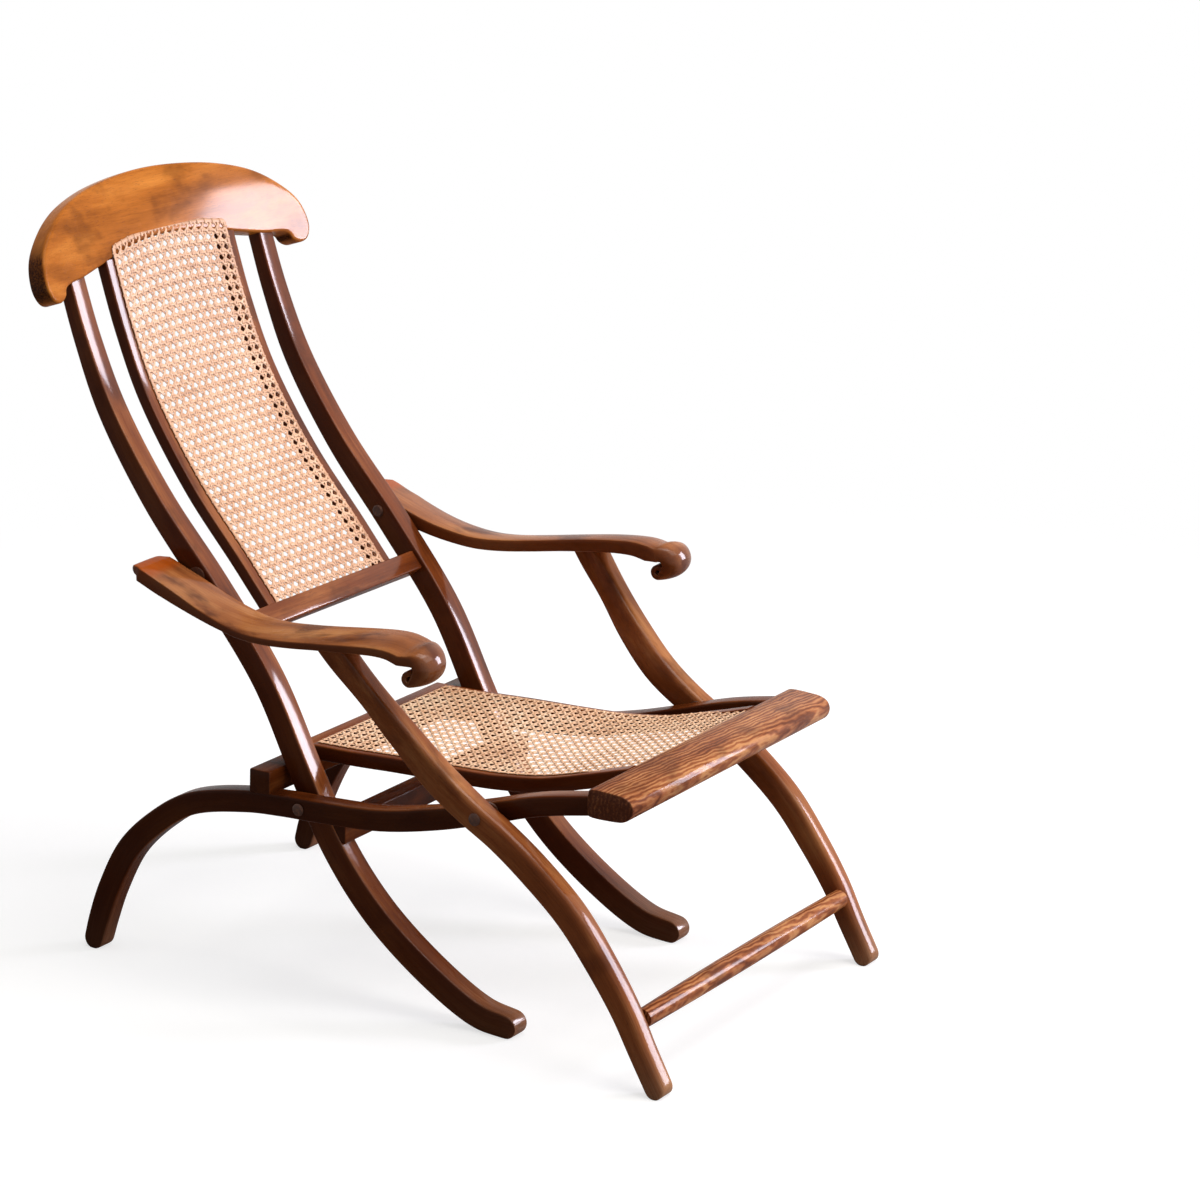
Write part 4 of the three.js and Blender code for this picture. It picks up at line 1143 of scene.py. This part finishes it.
class Weave(Nodes):
    """A Geometry Nodes tree. The sheet's X runs across the panel and its Y along it."""

    def __init__(self, name):
        super().__init__(bpy.data.node_groups.new(name, "GeometryNodeTree"))
        face = self.tree.interface
        face.new_socket("Guide", in_out="INPUT", socket_type="NodeSocketGeometry")
        face.new_socket("Strands", in_out="OUTPUT", socket_type="NodeSocketGeometry")
        for label in ("Pitch Across", "Pitch Along", "Gap", "Strand Width", "Strand Thickness",
                      "Wave", "Lift", "Arch"):
            face.new_socket(label, in_out="INPUT", socket_type="NodeSocketFloat")
        for label in ("Cells Across", "Cells Along"):
            face.new_socket(label, in_out="INPUT", socket_type="NodeSocketInt")
        face.new_socket("Finish", in_out="INPUT", socket_type="NodeSocketMaterial")
        self.inputs = self.tree.nodes.new("NodeGroupInput")
        self.cells = self.given("Cells Across"), self.given("Cells Along")
        self.pitch = self.given("Pitch Across"), self.given("Pitch Along")
        self.sizes = self.cells[ACROSS] * self.pitch[ACROSS], self.cells[ALONG] * self.pitch[ALONG]

    def given(self, label):
        return Socket(self, self.inputs.outputs[label])

    def vector(self, x=0.0, y=0.0, z=0.0):
        return self.node("ShaderNodeCombineXYZ", {}, {0: x, 1: y, 2: z})

    def flat(self, way, ahead, aside=0.0):
        """A place on the sheet, counted ahead in one of the two ways and aside in the other."""
        return self.vector(aside, ahead) if way == ALONG else self.vector(ahead, aside)

    def index(self):
        return self.node("GeometryNodeInputIndex", {}, {})

    def position(self):
        place = self.node("GeometryNodeInputPosition", {}, {})
        x = self.node("ShaderNodeSeparateXYZ", {}, {0: place})
        return x, x.other(1), x.other(2)

    def row(self, count, place):
        """Points, each where a function of its index puts it."""
        points = self.node("GeometryNodeMeshLine", {"mode": "OFFSET"}, {"Count": count})
        return self.node("GeometryNodeSetPosition", {},
                         {"Geometry": points, "Position": place(self.index())})

    def line(self, end, points):
        line = self.node("GeometryNodeCurvePrimitiveLine", {}, {"Start": (0, 0, 0), "End": end})
        return self.node("GeometryNodeResampleCurve", {}, {"Curve": line, "Count": points})

    def store(self, geometry, label, value, domain):
        return self.node("GeometryNodeStoreNamedAttribute",
                         {"data_type": "FLOAT", "domain": domain},
                         {"Geometry": geometry, "Name": label, "Value": value})

    def skin(self, lines, wide, thick):
        """A flat, rounded skin round each line."""
        ring = self.node("GeometryNodeCurvePrimitiveCircle", {},
                         {"Resolution": SKIN_POINTS, "Radius": 0.5})
        ring = self.node("GeometryNodeTransform", {},
                         {"Geometry": ring, "Scale": self.vector(wide, thick, 1.0)})
        return self.node("GeometryNodeCurveToMesh", {}, {"Curve": lines, "Profile Curve": ring})

    def strands(self, count, end, points, place, wave):
        """One family: a line for each index, lifted by its wave and given its skin."""
        made = self.node("GeometryNodeInstanceOnPoints", {},
                         {"Points": self.row(count, place), "Instance": self.line(end, points)})
        index = self.index()
        made = self.store(made, "parity", index.math("MODULO", 2), "INSTANCE")
        chance = self.node("FunctionNodeRandomValue", {"data_type": "FLOAT"},
                           {"ID": index, "Seed": STRAND_SEED}, output=1)
        made = self.store(made, "strand", chance, "INSTANCE")
        made = self.node("GeometryNodeRealizeInstances", {}, {"Geometry": made})
        x, y, _ = self.position()
        half = self.sizes[ALONG] * 0.5
        beyond = (y - half).math("ABSOLUTE").math("GREATER_THAN", half + RIM_PLAY)
        made = self.node("GeometryNodeDeleteGeometry", {"domain": "POINT"},
                         {"Geometry": made, "Selection": beyond})
        parity = self.node("GeometryNodeInputNamedAttribute", {"data_type": "FLOAT"},
                           {"Name": "parity"})
        at = x / self.pitch[ACROSS], y / self.pitch[ALONG]
        height = self.given("Wave") * wave(at, 1 - parity * 2)
        made = self.node("GeometryNodeSetPosition", {},
                         {"Geometry": made, "Offset": self.vector(z=height)})
        run = self.node("GeometryNodeSplineParameter", {}, {}, output=1)
        made = self.store(made, "along", run, "POINT")
        return self.lay(self.skin(made, self.given("Strand Width"), self.given("Strand Thickness")))

    def lay(self, made):
        """Bulges the flat sheet, bends it along the guide and gives it its finish."""
        guide = self.node("GeometryNodeMeshToCurve", {}, {"Mesh": self.given("Guide")})
        x, y, z = self.position()
        bulge = 1 - (x * 2 / self.sizes[ACROSS] - 1).math("ABSOLUTE").math("POWER", 2)
        share = (y / self.sizes[ALONG]).math("MAXIMUM", 0)
        pull = bulge * self.given("Arch") * share.math("POWER", 3)
        place = self.node("GeometryNodeSampleCurve", {"mode": "LENGTH", "use_all_curves": True},
                          {"Curves": guide, "Length": y + pull}, output="Position")
        ahead = self.node("ShaderNodeSeparateXYZ", {}, {0: place.other("Tangent")}, output=1)
        away = self.node("ShaderNodeVectorMath", {"operation": "SCALE"},
                         {0: self.vector(0.0, ahead.other(2) * -1, ahead),
                          "Scale": z + (self.given("Lift") - pull * BULGE_SINK)})
        for step in (self.vector(x - self.sizes[ACROSS] * 0.5), away):
            place = self.node("ShaderNodeVectorMath", {"operation": "ADD"}, {0: place, 1: step})
        made = self.node("GeometryNodeSetPosition", {}, {"Geometry": made, "Position": place})
        made = self.node("GeometryNodeRealizeInstances", {}, {"Geometry": made})
        made = self.node("GeometryNodeSetShadeSmooth", {}, {"Geometry": made})
        made = self.node("GeometryNodeSetMaterial", {},
                         {"Geometry": made, "Material": self.given("Finish")})
        self.feed(self.tree.nodes.new("NodeGroupOutput").inputs["Strands"], made)
        return self.tree


print("weave class ready")

# %% [markdown]
# ## The families of strands
# One tree for each family says how many strands it has, where each one starts and how it waves.
# The pairs wave once in each cell, and each strand of a pair the other way round. The slanting
# strands pass over one family of pairs and under the other. Flat strips with small stitches
# cover the ends of the strands.

# %% Node trees for the strands
STEPS_PER_CELL, STITCH_STEPS = 6, 6
TWO_PI = 2 * math.pi
PAIR_WAVE, SLANT_WAVE = 0.8, 1.15
STITCH_REACH, STITCH_RISE, STITCH_THICK = 0.62, 0.75, 0.7 * MM


def pair_tree(name, way):
    """The pairs that run along the panel, or those that run across it."""
    weave, other = Weave(name), 1 - way

    def place(index):
        pair = (index / 2).math("FLOOR") + 1
        side = index.math("MODULO", 2) - 0.5
        return weave.flat(way, 0.0, pair * weave.pitch[other] + side * weave.given("Gap"))

    def wave(at, sign):
        swing = (at[way] * TWO_PI).math("SINE") * sign
        return swing * (PAIR_WAVE if way == ALONG else -PAIR_WAVE)

    return weave.strands((weave.cells[other] - 1) * 2, weave.flat(way, weave.sizes[way]),
                         weave.cells[way] * STEPS_PER_CELL + 1, place, wave)


def slant_tree(name, rising):
    """The single strands along one diagonal."""
    weave = Weave(name)
    cells, pitch = weave.cells, weave.pitch
    rise = cells[ACROSS] * pitch[ALONG]

    def place(index):
        first = index - cells[ACROSS] if rising else index
        return weave.vector(0.0, (first + 0.5) * pitch[ALONG])

    def wave(at, sign):
        return (at[ACROSS] * TWO_PI).math("COSINE") * (SLANT_WAVE if rising else -SLANT_WAVE)

    end = weave.vector(weave.sizes[ACROSS], rise if rising else rise * -1)
    return weave.strands(cells[ACROSS] + cells[ALONG], end, cells[ACROSS] * STEPS_PER_CELL + 1,
                         place, wave)


def border_tree(name, way):
    """Flat strips along two edges of the sheet, each held by a stitch at every hole."""
    weave = Weave(name)
    cells, pitch, reach = weave.cells[way], weave.pitch[way], weave.sizes[1 - way]
    wide, thick = weave.given("Strand Width"), weave.given("Strand Thickness")
    edges = weave.row(2, lambda index: weave.flat(way, 0.0, index * reach))
    holes = weave.row(cells, lambda index: weave.flat(way, (index + 0.5) * pitch))
    strip = weave.skin(weave.line(weave.flat(way, weave.sizes[way]), cells * 3), wide, thick)
    half = wide * STITCH_REACH
    arc = weave.node("GeometryNodeCurveQuadraticBezier", {}, {
        "Resolution": STITCH_STEPS, "Start": weave.flat(way, 0.0, half * -1),
        "Middle": weave.vector(z=thick * STITCH_RISE * 2), "End": weave.flat(way, 0.0, half)})
    stitch = weave.skin(arc, weave.given("Gap"), STITCH_THICK)
    stitches = weave.node("GeometryNodeInstanceOnPoints", {}, {"Points": holes, "Instance": stitch})
    joined = weave.node("GeometryNodeJoinGeometry", {}, {0: [stitches, strip]})
    made = weave.node("GeometryNodeInstanceOnPoints", {}, {"Points": edges, "Instance": joined})
    return weave.lay(weave.node("GeometryNodeRealizeInstances", {}, {"Geometry": made}))


WEAVE_TREES = {
    "warp": pair_tree("warp_strands", ALONG),
    "weft": pair_tree("weft_strands", ACROSS),
    "rise": slant_tree("rising_strands", True),
    "fall": slant_tree("falling_strands", False),
    "side": border_tree("side_borders", ALONG),
    "end": border_tree("end_borders", ACROSS),
}
print("weave trees", {name: len(tree.nodes) for name, tree in WEAVE_TREES.items()})

# %% [markdown]
# ## The two panels
# The guide line of a panel runs in the side view, from one frame bar to the other. The numbers
# of cells put the holes 13 to 16 mm apart, which is about the spacing in such chairs.

# %% Weave the panels
BORDER_INSET = 7 * MM
BORDER = {"Strand Width": 6 * MM, "Strand Thickness": 1.3 * MM, "Gap": 2.6 * MM}
GAP_SHARE, SLANT_SHARE = 1.18, 1.2
CANE_STRIP, CANE_SWING, CANE_LIFT = 0.75 * MM, 0.62 * MM, 0.9 * MM
SEAT_CELLS, SEAT_STRAND = (19, 35), 2.8 * MM
BACK_CELLS, BACK_STRAND, BACK_BULGE = (16, 37), 3.1 * MM, 12 * MM
SEAT_SINK, SEAT_SINK_REACH, SEAT_PATH_STEPS = 3.6 * MM, 80 * MM, 60
BACK_SHORTFALL = 11 * MM


def guide_object(name, line):
    data = bpy.data.meshes.new(name)
    edges = [(i, i + 1) for i in range(len(line) - 1)]
    data.from_pydata([(0, y, z) for y, z in line[:, :2]], edges, [])
    made = bpy.data.objects.new(name, data)
    bpy.context.scene.collection.objects.link(made)
    return made


def run_tree(name, guide, tree, values):
    """Runs a node tree on a guide and returns the result as a plain mesh object."""
    modifier = guide.modifiers.new("weave", "NODES")
    modifier.node_group = tree
    for entry in tree.interface.items_tree:
        if entry.in_out == "INPUT" and entry.name in values:
            modifier[entry.identifier] = values[entry.name]
    graph = bpy.context.evaluated_depsgraph_get()
    data = bpy.data.meshes.new_from_object(guide.evaluated_get(graph))
    guide.modifiers.remove(modifier)
    piece = bpy.data.objects.new(name, data)
    bpy.context.scene.collection.objects.link(piece)
    return piece


def line_length(line):
    return float(step_lengths(line).sum())


def weave_panel(part, line, length, half_width, cells, wide, lift, arch, finish, body):
    name, cane = f"{part}_weave", f"{part}_cane"
    guide = guide_object(f"{name}_guide", line)
    print(name, "flat sheet", round(length / MM), "by", round(2 * half_width / MM), "mm")
    values = {
        "Pitch Across": 2 * half_width / cells[ACROSS], "Pitch Along": length / cells[ALONG],
        "Cells Across": cells[ACROSS], "Cells Along": cells[ALONG], "Gap": wide * GAP_SHARE,
        "Strand Width": wide, "Strand Thickness": CANE_STRIP, "Wave": CANE_SWING,
        "Lift": lift, "Arch": arch, "Finish": finish,
    }
    for kind, tree in WEAVE_TREES.items():
        if kind in ("rise", "fall"):
            values["Strand Width"] = wide * SLANT_SHARE
        if kind in ("side", "end"):
            values.update(BORDER)
        piece = run_tree(f"{name}_{kind}", guide, tree, values)
        if kind == "warp":
            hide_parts(cane, f"{cane}_binder_left", f"{cane}_binder_right")
        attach(piece, body)
        print(piece.name, len(piece.data.polygons), "faces")
    bpy.data.objects.remove(guide)


seat_low, seat_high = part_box("seat_cane")
seat_along = np.linspace(seat_low.y + 1 * MM, seat_high.y - 2 * MM, SEAT_PATH_STEPS)
seat_up = np.interp(seat_along, SEAT_LINE[:, 0], SEAT_LINE[:, 1])
seat_up -= SEAT_SINK * (1 - smooth_share(seat_along, seat_low.y, seat_low.y + SEAT_SINK_REACH))
seat_path = np.column_stack([seat_along, seat_up])
back_path = STILE_LINE[lower_index + 1:]
weave_panel("seat", seat_path, line_length(seat_path), SIDE_RAIL_X[0] + BORDER_INSET, SEAT_CELLS,
            SEAT_STRAND, CANE_LIFT, 0.0, SEAT_CANE, "base")
weave_panel("back", back_path, line_length(back_path) - BACK_SHORTFALL, SLAT_X[0] + BORDER_INSET,
            BACK_CELLS, BACK_STRAND, SLAT_DEPTH / 2 + CANE_LIFT, BACK_BULGE, BACK_CANE, "back")

# %% [markdown]
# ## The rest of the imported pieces
# The washers and the arms' bolts are nearly hidden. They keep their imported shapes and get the
# iron finish.

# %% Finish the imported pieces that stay
for node_name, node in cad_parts.items():
    if not node.hide_render:
        node.data.materials.clear()
        node.data.materials.append(IRON)
        print("kept", node_name)

# %% [markdown]
# ## Floor and light
# The chair stands on a plain pale floor that fades out at its rim. A tall cool window to the
# chair's front left gives the long highlights on the crest and the stiles. A softer, warmer lamp
# from the front and one from the ceiling fill the shadows. The world is dim as a light, and
# bright where it is seen directly or in a reflection.

# %% Floor, world and lamps
FLOOR_REACH = 6.0
FLOOR_CLEAR = (1.1, 2.6)
FLOOR_GREY, FLOOR_GLOW = 0.42, 0.68
WORLD_LIGHT, WORLD_SEEN = 0.16, 1.0
LAMP_TARGET = Vector((0, 0, 0.45))

floor_mesh = bmesh.new()
bmesh.ops.create_grid(floor_mesh, x_segments=1, y_segments=1, size=FLOOR_REACH)
floor = finish_mesh("floor", floor_mesh)
ground = Finish("floor")
seen = ground.node("ShaderNodeLightPath", {}, {})
away = ground.node("ShaderNodeVectorMath", {"operation": "LENGTH"},
                   {0: ground.coordinates("Object")}, output="Value")
ground.show({
    "Base Color": (FLOOR_GREY, FLOOR_GREY, FLOOR_GREY, 1), "Roughness": 0.9,
    "Specular IOR Level": 0.1, "Alpha": 1 - away.between(*FLOOR_CLEAR),
    "Emission Color": ground.tint(seen, (0, 0, 0, 1), (1, 1, 1)), "Emission Strength": FLOOR_GLOW,
})
floor.data.materials.append(ground.material)

world = bpy.data.worlds.new("room")
world.use_nodes = True
bpy.context.scene.world = world
room = Nodes(world.node_tree)
ray = room.node("ShaderNodeLightPath", {}, {})
seen = ray.math("MAXIMUM", ray.other("Is Glossy Ray"))
seen = seen.math("MAXIMUM", ray.other("Is Transmission Ray"))
background = world.node_tree.nodes["Background"]
background.inputs["Color"].default_value = (1, 1, 1, 1)
room.feed(background.inputs["Strength"],
          room.node("ShaderNodeMapRange", {},
                    {"Value": seen, "To Min": WORLD_LIGHT, "To Max": WORLD_SEEN}))


def soft_light(name, azimuth, height, reach, size, power, colour):
    """A rectangular lamp. The azimuth is counted in degrees from the front to the left."""
    a, e = math.radians(azimuth), math.radians(height)
    way = Vector((math.sin(a) * math.cos(e), -math.cos(a) * math.cos(e), math.sin(e)))
    data = bpy.data.lights.new(name, "AREA")
    data.shape = "RECTANGLE"
    data.size, data.size_y = size
    data.energy, data.color = power, colour
    lamp = bpy.data.objects.new(name, data)
    lamp.location = LAMP_TARGET + reach * way
    lamp.rotation_euler = (-way).to_track_quat("-Z", "Y").to_euler()
    bpy.context.scene.collection.objects.link(lamp)


soft_light("window", 49, 13, 4.5, (1.1, 2.0), 180, (0.9, 0.88, 1.0))
soft_light("front", 12, 50, 4.5, (3.2, 3.2), 75, (1.0, 0.96, 0.9))
soft_light("ceiling", 0, 80, 4.2, (3, 3), 125, (1.0, 0.98, 0.95))
print("lamps ready")

# %% [markdown]
# ## Colours
# Colours are shown as they are written.

# %% Colours as written
bpy.context.scene.view_settings.view_transform = "Standard"
